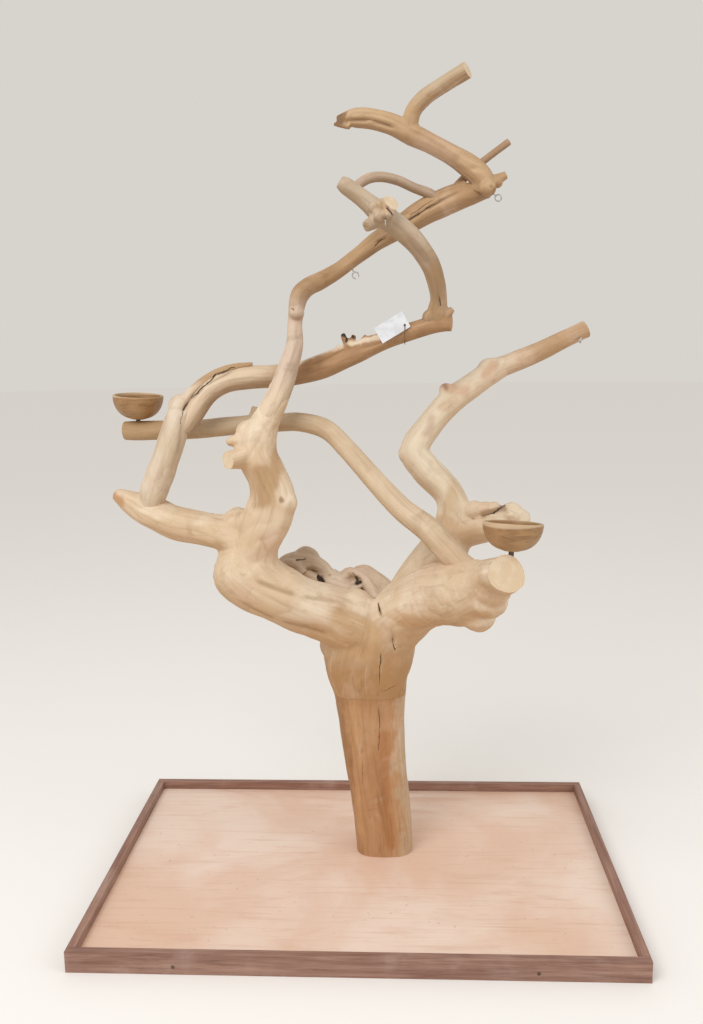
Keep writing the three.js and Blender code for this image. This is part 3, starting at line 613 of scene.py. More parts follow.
def limb_wood(name, pale, warm, deep, under, fades=(), stains_and_shade=(), cracks_and_hollow_shade=(), streaks=1.0):
    """Debarked, sandblasted hardwood. Fibres run along the limb; furrows and pits are darkened as
    painted shade, and undersides get a warmer, darker painted shade. A fade is (axis, all there,
    gone, colour); a stain is (from, to, width, colour), soft-edged, and a few stains are painted
    shade; a crack is (from, to, width), dark and narrow, and the wide short ones are painted shade
    inside pits, hollows and crevices."""
    material, tree, place = blank(name)
    normal = put(tree, "ShaderNodeNewGeometry").outputs["Normal"]
    fibre = put(tree, "ShaderNodeAttribute", attribute_name="fibre").outputs["Vector"]
    furrow = put(tree, "ShaderNodeAttribute", attribute_name="furrow").outputs["Fac"]
    streak = noise(tree, stretched(tree, fibre, (62, 62, 4.5)), 1.0, 6, 0.6, 0.7)
    hair = noise(tree, stretched(tree, fibre, (380, 380, 15)), 1.0, 5, 0.65)
    cloud = noise(tree, place, 4.2, 4, 0.55, 0.6)
    patch = noise(tree, place, 11, 5, 0.6, 0.9)
    blush = noise(tree, place, 7.3, 4, 0.6, 0.4)
    fleck = noise(tree, stretched(tree, fibre, (170, 170, 55)), 1.0, 3, 0.6)
    colour = mixed(tree, banded(tree, cloud, 0.4, 0.62), shade(pale), shade(warm))
    level = put(tree, "ShaderNodeSeparateXYZ", {"Vector": place}).outputs
    for axis, all_there, gone, tint in fades:
        waver = 0.14
        wave = {0: patch, 1: waver, 2: level[axis]}
        wave = put(tree, "ShaderNodeMath", wave, operation="MULTIPLY_ADD").outputs[0]
        amount = banded(tree, wave, all_there + waver / 2, gone + waver / 2, 1, 0)
        colour = mixed(tree, amount, colour, shade(tint))
    flatness = 0.2  # depth counts for a fifth, so that a mark reaches the skin it is drawn on
    flat = stretched(tree, place, (1, flatness, 1))

    def wandering(reach, scale, detail):
        """The place, shifted about a little, for lines that wander."""
        swirl = {"Vector": place, "Scale": scale, "Detail": detail}
        swirl = put(tree, "ShaderNodeTexNoise", swirl).outputs["Color"]
        bend = {0: swirl, 1: (reach, 0.0, reach), 2: flat}
        bend = put(tree, "ShaderNodeVectorMath", bend, operation="MULTIPLY_ADD").outputs[0]
        shift = {0: bend, 1: (reach / 2, 0.0, reach / 2)}
        return put(tree, "ShaderNodeVectorMath", shift, operation="SUBTRACT").outputs[0]

    def drawn(point, start, end, width):
        ends = [(x, y * flatness, z) for x, y, z in (at(start), at(end))]
        given = {"Point": point, "From": ends[0], "To": ends[1], "Width": width / 1000}
        return put(tree, "ShaderNodeGroup", given, node_tree=LINE_MARK).outputs[0]

    if stains_and_shade:
        loose = wandering(0.04, 17, 4)
    # Soft stains; a few of them are painted shade on shaded sides and in a crevice.
    for start, end, width, tint in stains_and_shade:
        amount = banded(tree, drawn(loose, start, end, width), 0.05, 0.9, 0, 0.85)
        colour = mixed(tree, amount, colour, shade(tint))
    # Painted shade: faces turned downwards get the warmer, darker underside colour.
    facing = put(tree, "ShaderNodeSeparateXYZ", {"Vector": normal}).outputs["Z"]
    colour = mixed(tree, banded(tree, facing, 0.3, -0.75, 0, 0.75), colour, shade(under))
    colour = mixed(tree, banded(tree, blush, 0.52, 0.66, 0, 0.3), colour, shade("#dcbba3"))
    colour = mixed(tree, banded(tree, patch, 0.54, 0.7, 0, 0.3), colour, shade(deep))
    dark_streak = banded(tree, streak, 0.46, 0.74, 0, 0.36 * streaks)
    colour = mixed(tree, dark_streak, colour, shade(deep))
    colour = mixed(tree, banded(tree, streak, 0.24, 0.42, 0.3, 0), colour, shade("#f1e6d4"))
    dark_hair = banded(tree, hair, 0.55, 0.78, 0, 0.3 * streaks)
    colour = mixed(tree, dark_hair, colour, shade(deep), "MULTIPLY")
    colour = mixed(tree, banded(tree, fleck, 0.7, 0.77, 0, 0.4), colour, shade("#86704f"))
    # Painted shade: furrows, grooves and pits are darkened by how deep they are.
    colour = mixed(tree, banded(tree, furrow, 0.3, 1.0, 0, 0.55), colour, shade(deep), "MULTIPLY")
    relief = {0: streak, 1: 0.8, 2: hair}
    relief = put(tree, "ShaderNodeMath", relief, operation="MULTIPLY_ADD").outputs[0]
    if cracks_and_hollow_shade:
        tight = wandering(0.008, 60, 3)
        near = None
        for crack in cracks_and_hollow_shade:
            line = drawn(tight, *crack)
            if near is not None:
                both = {0: near, 1: line}
                line = put(tree, "ShaderNodeMath", both, operation="MAXIMUM").outputs[0]
            near = line
        # Dark crack lines; the wide short ones are painted shade inside pits, hollows and crevices.
        colour = mixed(tree, banded(tree, near, 0.15, 0.75), colour, shade("#33231a"))
        relief = {0: near, 1: -5.0, 2: relief}
        relief = put(tree, "ShaderNodeMath", relief, operation="MULTIPLY_ADD").outputs[0]
    rough = banded(tree, streak, 0.3, 0.8, 0.6, 0.8)
    finished(tree, colour, rough, relief, 0.0008, 0.5)
    return material


def cut_wood(name, pale, ring, rim):
    """A sawn end: growth rings round the limb's middle, lighter patches and a few fine checks."""
    material, tree, place = blank(name)
    fibre = put(tree, "ShaderNodeAttribute", attribute_name="fibre").outputs["Vector"]
    wobble = noise(tree, place, 42, 3, 0.5)
    rings = {"Vector": fibre, "Scale": 70, "Distortion": 4.0, "Detail": 3, "Detail Scale": 0.6}
    ring_kind = {"wave_type": "RINGS", "rings_direction": "Z", "wave_profile": "SIN"}
    rings = put(tree, "ShaderNodeTexWave", rings, **ring_kind).outputs["Fac"]
    dust = noise(tree, place, 420, 4, 0.6)
    colour = mixed(tree, banded(tree, rings, 0.1, 0.95, 0, 0.3), shade(pale), shade(ring))
    colour = mixed(tree, banded(tree, wobble, 0.4, 0.7, 0, 0.5), colour, shade(rim))
    colour = mixed(tree, banded(tree, dust, 0.6, 0.75, 0, 0.3), colour, shade("#8d7350"))
    finished(tree, colour, banded(tree, dust, 0.3, 0.7, 0.7, 0.85), dust, 0.0004, 0.35)
    return material


pale_cut = cut_wood("sawn_face", "#dcc5a6", "#c4a379", "#e8d8c0")
brown_cut = cut_wood("brown_sawn_face", "#b58a60", "#94683f", "#c9a57e")


def smoothed(piece, voxel, passes):
    """Turns a limb's joined skins into one and rounds the places where they meet."""
    use(piece, "skin", "REMESH", mode="VOXEL", voxel_size=voxel * COARSE, adaptivity=0)
    use(piece, "rounded", "SMOOTH", factor=0.5, iterations=passes)


THICK_VOXEL, THICK_PASSES = 0.0042, 16
SEAM_HEIGHT, SEAM_GAP = 0.4238, 0.0005  # where the crown stands on the post, above the panel
THICK_RELIEF = {"seed": 7, "relief": 1.15, "most": 0.006, "smooth_first": True}
trunk_line = spine(TRUNK_ROUTE, 22)
trunk_skin = stem(trunk_line, 88, 0.8, 3)
post = raised("trunk_post_wood", [trunk_skin])
smoothed(post, THICK_VOXEL, THICK_PASSES)
fibred(post, [trunk_line], **THICK_RELIEF)
post.data.materials.append(
    limb_wood(
        "trunk_wood", "#c59a71", "#b5855a", "#93663f", "#a8784e",
        fades=[("X", 0.105, 0.07, "#cbb192"), ("X", -0.045, -0.005, "#a37a50")],
        stains_and_shade=[
            ((-70, -70, 420), (-60, -70, 60), 20, "#c89a6c"),
            ((0, -70, 330), (10, -70, 40), 24, "#b0794a"),
        ],
        cracks_and_hollow_shade=[
            ((-10, -70, 420), (-8, -66, 350), 1.7), ((-8, -66, 350), (-12, -66, 290), 1.1),
            ((38, -60, 320), (34, -60, 190), 1.0), ((-52, -60, 300), (-50, -60, 150), 0.9),
        ],
        streaks=1.5,
    )
)
post.data.materials.append(brown_cut)
sawn(post, FOOT + Vector((0, 0, 0.0003)), (0, 0, -1), 0.3)
sawn(post, FOOT + Vector((0, 0, SEAM_HEIGHT)), (0, 0, 1), 0.4)
bpy.ops.object.shade_smooth_by_angle(angle=math.radians(40))
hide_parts("trunk_post")
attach(post, "stand")


# ------------------------------
# Crown: the natural fork of the tree in one piece. A left limb rises to an arm and a stem, a
# right limb ends in a thick sawn stub, and the trunk's old heart is open behind the fork.
LEFT_LIMB = [
    (-20, -20, 574, 76), (-92, -45, 616, 73), (-175, -75, 656, 66), (-257, -95, 701, 69),
    (-318, -102, 752, 76), (-330, -102, 805, 54),
]
LEFT_ARM = [
    (-300, -103, 800, 48), (-346, -100, 835, 46), (-411, -90, 850, 41), (-484, -80, 863, 40),
    (-550, -70, 890, 36), (-598, -65, 914, 27), (-630, -60, 931, 15),
]
CENTRAL_STEM = [
    (-298, -103, 770, 56), (-286, -112, 825, 53), (-252, -125, 898, 54), (-246, -128, 933, 50),
    (-258, -130, 980, 45), (-278, -128, 1025, 46), (-275, -125, 1064, 41), (-264, -123, 1090, 35),
    (-249, -121, 1118, 30), (-232, -120, 1148, 27.4), (-219, -114, 1182, 25),
]
STEM_STUB = [(-282, -130, 1026, 28), (-312, -162, 1023, 25), (-335, -187, 1021, 20.5)]
ROUGH_STUB = [(-290, -125, 1056, 22), (-322, -138, 1060, 15), (-344, -146, 1056, 10)]
RIGHT_LIMB = [
    (-5, -25, 570, 82), (67, -75, 652, 71), (134, -145, 704, 72), (189, -215, 727, 73),
    (227, -295, 770, 50), (256, -405, 815, 38),
]
HEART = [
    [(-30, 5, 590, 42), (-90, 14, 652, 30), (-150, 12, 694, 22), (-208, 0, 722, 19)],
    [(-10, 10, 600, 38), (-40, 14, 650, 24), (-70, 12, 680, 14)],
    [(15, 0, 610, 42), (4, 6, 670, 26), (-14, 6, 694, 15)],
]
crown_lines = [spine(route) for route in (LEFT_LIMB, LEFT_ARM, CENTRAL_STEM)]
stem_stub = spine(STEM_STUB, run_on=0.02)
right_limb = spine(RIGHT_LIMB, run_on=0.024)
crown_lines += [stem_stub, spine(ROUGH_STUB), right_limb]
crown_lines += [spine(route) for route in HEART]
crown = raised(
    "crown_wood",
    [trunk_skin] + [stem(line) for line in crown_lines],
    [
        (-60, -58, 655, 40), (-36, -62, 640, 36), (214, -236, 680, 38), (238, -322, 768, 42),
        (232, -290, 735, 44), (-300, -122, 1080, 26), (-222, -140, 918, 32), (-332, -105, 866, 38),
        (-560, -70, 905, 30), (-105, -26, 556, 50), (-88, -22, 518, 54),
    ],
)
smoothed(crown, THICK_VOXEL, THICK_PASSES)
fibred(
    crown,
    [trunk_line] + crown_lines,
    marks=[
        (-40, -112, 655, 26, 6), (-226, -182, 925, 18, 4), (-222, -190, 925, 5, -4),
        (-18, -97, 681, 7, -8), (200, -262, 800, 16, 4), (212, -300, 668, 14, 4),
        (-190, -30, 745, 18, -9), (176, -225, 760, 30, 4), (-120, -100, 690, 30, 3),
    ],
    grooves=[
        ((-290, -165, 745), (-190, -140, 700), 9, 4.5),
        ((-190, -140, 700), (-70, -110, 668), 8, 4.0),
        ((-330, -150, 690), (-240, -140, 640), 9, 3.5),
        ((-240, -140, 640), (-120, -110, 600), 9, 4.0),
        ((-250, -160, 780), (-270, -165, 850), 9, 3.0), ((-8, -105, 672), (1, -110, 640), 5, 7.0),
        ((18, -112, 652), (29, -110, 566), 5, 8.0), ((112, -150, 744), (151, -160, 769), 8, 7.0),
        ((70, -130, 730), (120, -170, 765), 7, 4.0), ((60, -130, 690), (140, -190, 705), 8, 4.0),
        ((50, -110, 640), (120, -170, 680), 8, 3.5), ((150, -200, 640), (215, -270, 740), 10, 4.0),
        ((-300, -160, 1010), (-262, -165, 1075), 6, 3.5),
        ((-275, -170, 1000), (-255, -170, 940), 8, 3.0),
        ((-460, -105, 860), (-365, -120, 845), 7, 2.5),
    ],
    **THICK_RELIEF,
)
crown.data.materials.append(
    limb_wood(
        "crown_limb_wood", "#ead8c0", "#dac0a0", "#a08058", "#bc946a",
        fades=[("Z", 0.50, 0.69, "#a87b4b")],
        stains_and_shade=[
            # The first stain is partly tan patches and partly painted shade on the stem's shaded
            # left side.
            ((-262, -150, 985), (-262, -150, 930), 46, "#ae8a61"),
            ((-300, -150, 890), (-330, -150, 800), 40, "#dabf9e"),
            ((-230, -150, 1040), (-240, -150, 960), 26, "#bd9a72"),
            ((-150, -120, 600), (-40, -110, 560), 60, "#c29a6c"),
            ((-100, -110, 640), (-20, -110, 600), 40, "#c9a57b"),
            ((60, -130, 640), (150, -180, 660), 44, "#c6a27a"),
            ((150, -170, 740), (110, -150, 720), 30, "#bda07c"),
            ((226, -300, 700), (190, -250, 690), 30, "#c09a70"),
            ((-640, -65, 930), (-610, -65, 915), 26, "#bd8a5c"),
            ((-560, -80, 880), (-380, -90, 850), 22, "#d3b896"),
            ((-222, -190, 930), (-219, -190, 926), 12, "#8d6a48"),
        ],
        cracks_and_hollow_shade=[
            ((-2, -100, 560), (-10, -95, 424), 1.6), ((-8, -100, 672), (1, -104, 640), 2.8),
            ((18, -88, 652), (21, -92, 622), 3.6), ((21, -92, 622), (30, -104, 560), 2.4),
            # The short 8 mm mark is painted shade inside a deep pit; the rest are cracks.
            ((-21, -64, 682), (-18, -64, 679), 8.0), ((-6, -92, 446), (47, -80, 468), 1.3),
            ((-460, -85, 884), (-365, -85, 886), 1.6), ((224, -300, 690), (226, -300, 688), 5.0),
        ],
    )
)
crown.data.materials.append(pale_cut)


def cut_end(piece, line):
    """Saws a limb off at the end of its line."""
    end = line["end"]
    reach = line["radii"][end] * 1.5 + 0.014
    sawn(piece, line["points"][end], line["ahead"][end], reach)


sawn(crown, FOOT + Vector((-0.03, 0, SEAM_HEIGHT + SEAM_GAP)), (0, 0, -1), 0.58)
cut_end(crown, right_limb)
cut_end(crown, stem_stub)
FORK_ANGLE = math.radians(50)  # skins that meet at less than this look round
bpy.ops.object.shade_smooth_by_angle(angle=FORK_ANGLE)
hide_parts("crown")
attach(crown, "stand")


# ------------------------------
# Old roots: rough washed-out strands of the trunk's heart that curl round two hollows behind the
# fork. They are grey-brown and grow out of the crown.
def grown(
    name,
    routes,
    swellings=(),
    voxel=0.0028,
    seed=1,
    relief=1.0,
    marks=(),
    grooves=(),
    passes=6,
    cuts=(),
):
    """A piece of the tree: limbs and swellings grown into one skin, their forks rounded. Gives
    the piece and the limbs that end at a saw cut."""
    lines = [spine(route, run_on=0.018 if i in cuts else 0) for i, route in enumerate(routes)]
    piece = raised(name, [stem(line) for line in lines], swellings)
    smoothed(piece, voxel, passes)
    fibred(piece, lines, seed, relief, marks, grooves)
    return piece, [lines[i] for i in cuts]


def dressed(piece, ends, node, *materials):
    """Gives the wood and the sawn face, saws the ends, and stands for the plain solid."""
    for material in materials:
        piece.data.materials.append(material)
    for line in ends:
        cut_end(piece, line)
    picked(piece)
    bpy.ops.object.shade_smooth_by_angle(angle=FORK_ANGLE)
    if node:
        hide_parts(node)
    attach(piece, "stand")


root_routes = [
    [
        (-256, -8, 727, 13.5), (-236, 8, 745, 17.6), (-202, 12, 753, 18.9), (-168, 10, 745, 18.9),
        (-142, 4, 731, 17.6), (-130, -2, 713, 17.6),
    ],
    [(-214, 12, 759, 9.5), (-190, 16, 771, 12.2), (-168, 12, 765, 10.8), (-158, 8, 751, 9.5)],
    [(-240, -4, 741, 9.5), (-226, -12, 749, 10.8), (-205, -16, 741, 10.8), (-190, -20, 723, 12.2)],
    [(-150, -2, 709, 16.2), (-122, -8, 695, 17.6), (-92, -12, 687, 16.2), (-70, -16, 685, 12.2)],
    [(-126, 0, 709, 12.2), (-104, -4, 705, 13.5), (-88, -6, 715, 12.2), (-80, -4, 731, 9.5)],
    [
        (-98, 0, 713, 10.8), (-80, -6, 725, 11), (-60, -8, 719, 12), (-42, -14, 707, 13.5),
        (-26, -24, 685, 16.2), (-12, -40, 661, 21.6),
    ],
    [(-64, 6, 725, 11), (-40, 4, 727, 13), (-20, 0, 713, 15), (2, -8, 690, 21), (16, -20, 665, 27)],
    [(-46, -2, 719, 10.8), (-56, -16, 697, 10.8), (-74, -24, 675, 14.9)],
    [(-96, -14, 693, 10.8), (-84, -22, 677, 12.2), (-66, -30, 665, 16.2)],
]
roots, root_ends = grown(
    "old_roots",
    root_routes,
    [
        (-140, 0, 706, 22), (-206, 4, 734, 22), (-182, 6, 742, 16), (-96, 2, 696, 24),
        (-30, 4, 694, 28), (-64, 4, 706, 16), (-120, 4, 712, 18),
    ],
    voxel=0.0026,
    seed=53,
    relief=1.8,
    passes=5,
    marks=[
        (-148, -16, 712, 9, -9), (-60, -22, 704, 9, -9), (-216, 4, 764, 6, 4),
        (-180, 4, 764, 6, 3), (-196, 0, 750, 6, -4), (-112, -16, 706, 6, 3),
    ],
)
root_wood = limb_wood(
    "old_root_wood", "#e2d0bc", "#c9b198", "#856b4e", "#ab8f6e",
    fades=[("X", -0.14, -0.06, "#c6b09a")],
    # The first four dark marks are painted shade inside the two hollows behind the fork; the last
    # two are cracks.
    cracks_and_hollow_shade=[
        ((-156, -30, 712), (-146, -30, 704), 14.0),
        ((-70, -30, 724), (-62, -30, 712), 5.0), ((-62, -30, 712), (-58, -30, 700), 9.0),
        ((-62, -30, 700), (-52, -30, 702), 8.0), ((-232, -10, 742), (-214, -10, 752), 3.0),
        ((-214, -10, 752), (-186, -10, 756), 2.4),
    ],
)
dressed(roots, root_ends, None, root_wood)


# ------------------------------
# Right-back limb: a thick limb that leaves the crown behind the right bowl, bends like an elbow
# and climbs to the right. A broken lumpy stub leans out at its foot, with a deep crevice darkened
# by painted shade.
right_back, right_back_ends = grown(
    "right_back_wood",
    [
        [
            (20, -8, 620, 42), (104, -20, 732, 54), (156, -34, 795, 55), (174, -32, 867, 43),
            (162, -25, 916, 36), (105, -10, 978, 38), (80, -5, 1018, 36), (117, 5, 1081, 31),
            (170, 15, 1136, 31), (236, 25, 1182, 29), (266, 30, 1202, 30), (284, 32, 1210, 26),
            (306, 36, 1219, 23),
        ],
        [(160, -35, 825, 46), (240, -48, 846, 44), (296, -60, 858, 37), (334, -66, 864, 24)],
        [(172, 15, 1136, 22), (152, 13, 1166, 16)],
    ],
    [
        (302, -74, 877, 28), (326, -72, 866, 22), (218, -62, 884, 25), (244, -66, 888, 20),
        (264, -66, 892, 15), (66, -8, 1012, 26), (258, 30, 1204, 29), (155, 14, 1160, 17),
    ],
    seed=11,
    voxel=0.0034,
    passes=9,
    marks=[(300, -98, 880, 10, 4), (330, -90, 884, 8, 5), (150, -4, 1172, 7, -4)],
    grooves=[
        ((226, -100, 872), (262, -100, 880), 6, 9.0),
        ((262, -100, 880), (288, -100, 900), 6, 11.0),
        ((290, -100, 895), (312, -100, 880), 4, 3.0), ((200, -80, 850), (170, -80, 880), 7, 3.0),
    ],
)
limb_pale = limb_wood(
    "pale_limb_wood", "#e4d4bb", "#d2b798", "#a38669", "#bf9d78",
    stains_and_shade=[
        ((110, 0, 1060), (120, 0, 1090), 26, "#c9b199"),
        ((150, 0, 1170), (200, 10, 1160), 24, "#cdaa8c"),
        ((270, 20, 1215), (250, 20, 1190), 24, "#cfa98b"),
        ((150, -60, 850), (200, -80, 830), 50, "#c8a884"),
        ((166, -60, 925), (160, -60, 890), 30, "#cdb28f"),
        ((150, 0, 1120), (172, 0, 1145), 24, "#cfb597"),
        ((151, 0, 1173), (155, 0, 1168), 13, "#a5806a"),
        # Painted shade: this last stain darkens the crevice along its length.
        ((234, -86, 874), (286, -86, 895), 13, "#94745a"),
    ],
    cracks_and_hollow_shade=[
        # The first two dark marks follow the crevice and are painted shade in it.
        ((236, -86, 873), (262, -84, 880), 3.0), ((262, -84, 880), (286, -84, 898), 4.6),
        ((211, -90, 868), (216, -90, 866), 3.0),
    ],
)
dressed(right_back, right_back_ends, "right_back_limb", limb_pale)


# ------------------------------
# Right tip: a straight branch dowelled into the end of the right-back limb, browner, with a
# screw eye near its sawn end.
right_tip, right_tip_ends = grown(
    "right_tip_wood",
    [[(256, 28, 1195, 23), (276, 31, 1207, 24), (357, 45, 1238, 23.5), (489, 70, 1297, 21)]],
    seed=13,
    voxel=0.0026,
    passes=5,
    relief=0.8,
    cuts=(0,),
)
limb_tan = limb_wood(
    "tan_limb_wood", "#cfb193", "#bd9a76", "#8f6c4a", "#a98259",
    fades=[("X", 0.36, 0.42, "#dcc5aa")],
)
dressed(right_tip, right_tip_ends, "right_tip", limb_tan, brown_cut)


# ------------------------------
# Mid branch: a long limb that leaves the right limb, crosses behind the stem and runs level to
# the left, where the left bowl sits on it. It is pale at the right and tan at the left.
mid, mid_ends = grown(
    "mid_branch_wood",
    [
        [
            (192, -218, 772, 28), (139, -192, 829, 29), (111, -178, 858, 29), (53, -152, 901, 26),
            (-22, -120, 976, 24), (-80, -90, 1038, 23), (-126, -70, 1078, 23),
            (-186, -50, 1093, 22), (-235, -35, 1092, 22), (-333, -12, 1084, 22.5),
            (-435, 12, 1074, 23), (-538, 35, 1070, 23.5), (-628, 55, 1068, 23),
        ],
        [(-300, -20, 1095, 14), (-291, -22, 1127, 12)],
    ],
    [(184, -214, 776, 34)],
    seed=17,
    voxel=0.0027,
    relief=0.8,
    cuts=(0,),
)
limb_mid = limb_wood(
    "mid_limb_wood", "#dbc5a8", "#cdb393", "#98795a", "#b19069",
    fades=[("X", -0.30, 0.02, "#bfa98c"), ("X", -0.48, -0.36, "#b4936c")],
)
dressed(mid, mid_ends, "mid_branch", limb_mid, brown_cut)


# ------------------------------
# Left riser: a short thick branch dowelled upright into the left arm. A tongue of split wood
# runs on over the sweep.
riser, riser_ends = grown(
    "left_riser_wood",
    [
        [
            (-546, -76, 895, 24), (-533, -78, 932, 32), (-521, -77, 965, 32),
            (-495, -72, 1033, 32), (-474, -68, 1090, 31), (-460, -66, 1128, 28),
            (-452, -64, 1150, 20),
        ],
        [
            (-458, -65, 1126, 24), (-442, -68, 1156, 15), (-421, -70, 1179, 11),
            (-395, -70, 1199, 9.5), (-366, -68, 1214, 8.5), (-332, -62, 1224, 7),
            (-292, -54, 1229, 4.5),
        ],
    ],
    [(-462, -66, 1134, 29)],
    seed=19,
    voxel=0.0025,
    passes=4,
    grooves=[
        ((-470, -95, 1000), (-452, -95, 1105), 6, 3.5),
        ((-505, -100, 960), (-490, -100, 1060), 7, 2.5),
        ((-452, -90, 1122), (-434, -88, 1155), 5, 5.0),
        ((-434, -88, 1155), (-403, -84, 1182), 4, 5.0),
    ],
)
riser_wood = limb_wood(
    "riser_limb_wood", "#e2d3be", "#d1bba1", "#9b7e61", "#c2a684",
    fades=[("Z", 1.235, 1.185, "#b8966f")],
    cracks_and_hollow_shade=[
        ((-452, -86, 1126), (-434, -84, 1155), 3.0), ((-434, -84, 1155), (-403, -82, 1182), 3.2),
        ((-403, -82, 1182), (-374, -78, 1205), 2.6), ((-374, -78, 1205), (-332, -72, 1222), 2.0),
        ((-458, -90, 1095), (-452, -90, 1126), 1.6),
    ],
)
dressed(riser, riser_ends, "left_riser", riser_wood)


# ------------------------------
# Sweep: the long branch that springs from the riser and climbs to the right in one bow, warm
# brown with pale torn strips along its top and painted shade beneath, with a torn spike and a
# sawn right end. The tag hangs from it.
sweep, sweep_ends = grown(
    "sweep_wood",
    [
        [
            (-462, -66, 1080, 22), (-437, -62, 1113, 25), (-405, -60, 1159, 27),
            (-381, -58, 1179, 28), (-348, -54, 1192, 27), (-300, -48, 1198, 27),
            (-250, -40, 1199, 27), (-171, -35, 1207, 26), (-67, -45, 1243, 23),
            (13, -65, 1278, 21), (92, -85, 1303, 20), (136, -95, 1313, 20), (162, -100, 1312, 17),
        ],
        [(-80, -44, 1245, 14), (-73, -50, 1272, 11), (-80, -54, 1287, 8), (-84, -56, 1294, 5)],
        [(-76, -46, 1266, 9), (-62, -50, 1282, 8), (-58, -50, 1291, 6)],
        [(-196, -46, 1218, 9), (-150, -52, 1234, 10), (-110, -54, 1250, 9), (-80, -56, 1262, 6)],
        [(-66, -58, 1262, 9), (-24, -64, 1279, 9), (16, -74, 1291, 6)],
        [(-104, -52, 1254, 6), (-92, -54, 1268, 4)],
        [(-40, -60, 1276, 6), (-30, -62, 1290, 4)],
    ],
    seed=23,
    voxel=0.0024,
    passes=4,
    relief=0.8,
    marks=[(-71, -52, 1287, 7, -6), (150, -118, 1300, 9, 3)],
    grooves=[
        ((-180, -70, 1212), (-90, -75, 1240), 5, 3.5), ((-40, -80, 1258), (30, -90, 1280), 5, 3.0),
        ((-434, -88, 1150), (-403, -84, 1180), 4, 4.0),
        ((-403, -84, 1180), (-332, -74, 1219), 4, 4.0),
    ],
    cuts=(0,),
)
limb_warm = limb_wood(
    "sweep_limb_wood", "#b48c66", "#a27a54", "#77563a", "#96704a",
    fades=[("X", -0.24, -0.12, "#dcc6aa")],
    stains_and_shade=[
        ((-196, -60, 1232), (-84, -70, 1262), 13, "#efe0c8"),
        ((-66, -70, 1268), (20, -80, 1294), 11, "#eddcc2"),
    ],
    cracks_and_hollow_shade=[
        # The first two dark marks are painted shade in the hollow between the torn spike's two
        # tips; the rest are cracks.
        ((-86, -70, 1292), (-58, -70, 1286), 9.0), ((-76, -70, 1276), (-72, -70, 1290), 6.0),
        ((-175, -75, 1217), (-95, -80, 1243), 1.8), ((-230, -70, 1190), (-200, -70, 1198), 1.2),
        ((-434, -84, 1152), (-403, -82, 1180), 3.0), ((-403, -82, 1180), (-374, -78, 1203), 2.6),
        ((-374, -78, 1203), (-332, -72, 1220), 2.0),
    ],
)
dressed(sweep, sweep_ends, "sweep_branch", limb_warm, brown_cut)


# ------------------------------
# Hook: the curved branch that stands on the sweep's end and bends back over to the left, with a
# cluster of knots and a sawn stub at its middle.
hook, hook_ends = grown(
    "hook_wood",
    [
        [
            (134, -94, 1312, 20), (131, -97, 1338, 22), (133, -106, 1365, 18),
            (128, -118, 1397, 19.5), (113, -134, 1438, 21), (91, -148, 1472, 22),
            (59, -158, 1504, 24), (16, -165, 1536, 25), (-31, -170, 1573, 19),
            (-66, -174, 1599, 17.5), (-78, -176, 1607, 13),
        ],
        [(8, -168, 1532, 23), (18, -194, 1545, 21), (31, -209, 1557, 18)],
        [(8, -170, 1532, 18), (-10, -188, 1520, 14), (-22, -200, 1512, 12)],
        [(134, -96, 1320, 16), (152, -100, 1332, 11), (164, -102, 1344, 7)],
    ],
    [
        (8, -182, 1538, 24), (114, -96, 1326, 17), (-4, -192, 1552, 15), (12, -203, 1553, 15),
        (4, -204, 1534, 13), (26, -210, 1538, 12),
    ],
    seed=29,
    voxel=0.0024,
    passes=5,
    marks=[
        (-24, -211, 1511, 5, -8), (2, -212, 1556, 5, 3), (-10, -208, 1536, 6, -3),
        (22, -220, 1532, 5, 3),
    ],
    grooves=[
        ((60, -180, 1490), (110, -160, 1430), 6, 2.5),
        ((126, -130, 1400), (134, -120, 1340), 5, 3.0),
        ((-2, -215, 1568), (-4, -215, 1540), 3.5, 3.5),
        ((10, -218, 1566), (12, -218, 1538), 3.0, 3.0),
        ((20, -222, 1548), (34, -222, 1530), 3.0, 4.0),
        ((28, -222, 1552), (38, -222, 1538), 3.0, 3.0),
    ],
    cuts=(1,),
)
limb_grey = limb_wood(
    "hook_limb_wood", "#c8b69f", "#b39b7f", "#81654a", "#9a7d5d",
    fades=[("Z", 1.44, 1.56, "#a7855f")],
    stains_and_shade=[
        ((110, -130, 1440), (70, -150, 1480), 22, "#b0998a"),
        ((10, -205, 1548), (24, -212, 1544), 20, "#c9a87e"),
    ],
    cracks_and_hollow_shade=[
        # The first mark is painted shade inside a deep pit among the knots; the rest are cracks.
        ((-26, -211, 1513), (-22, -211, 1510), 4.0), ((22, -220, 1546), (32, -220, 1532), 2.4),
        ((132, -120, 1392), (136, -118, 1350), 2.0),
    ],
)
dressed(hook, hook_ends, "hook_branch", limb_grey, pale_cut)


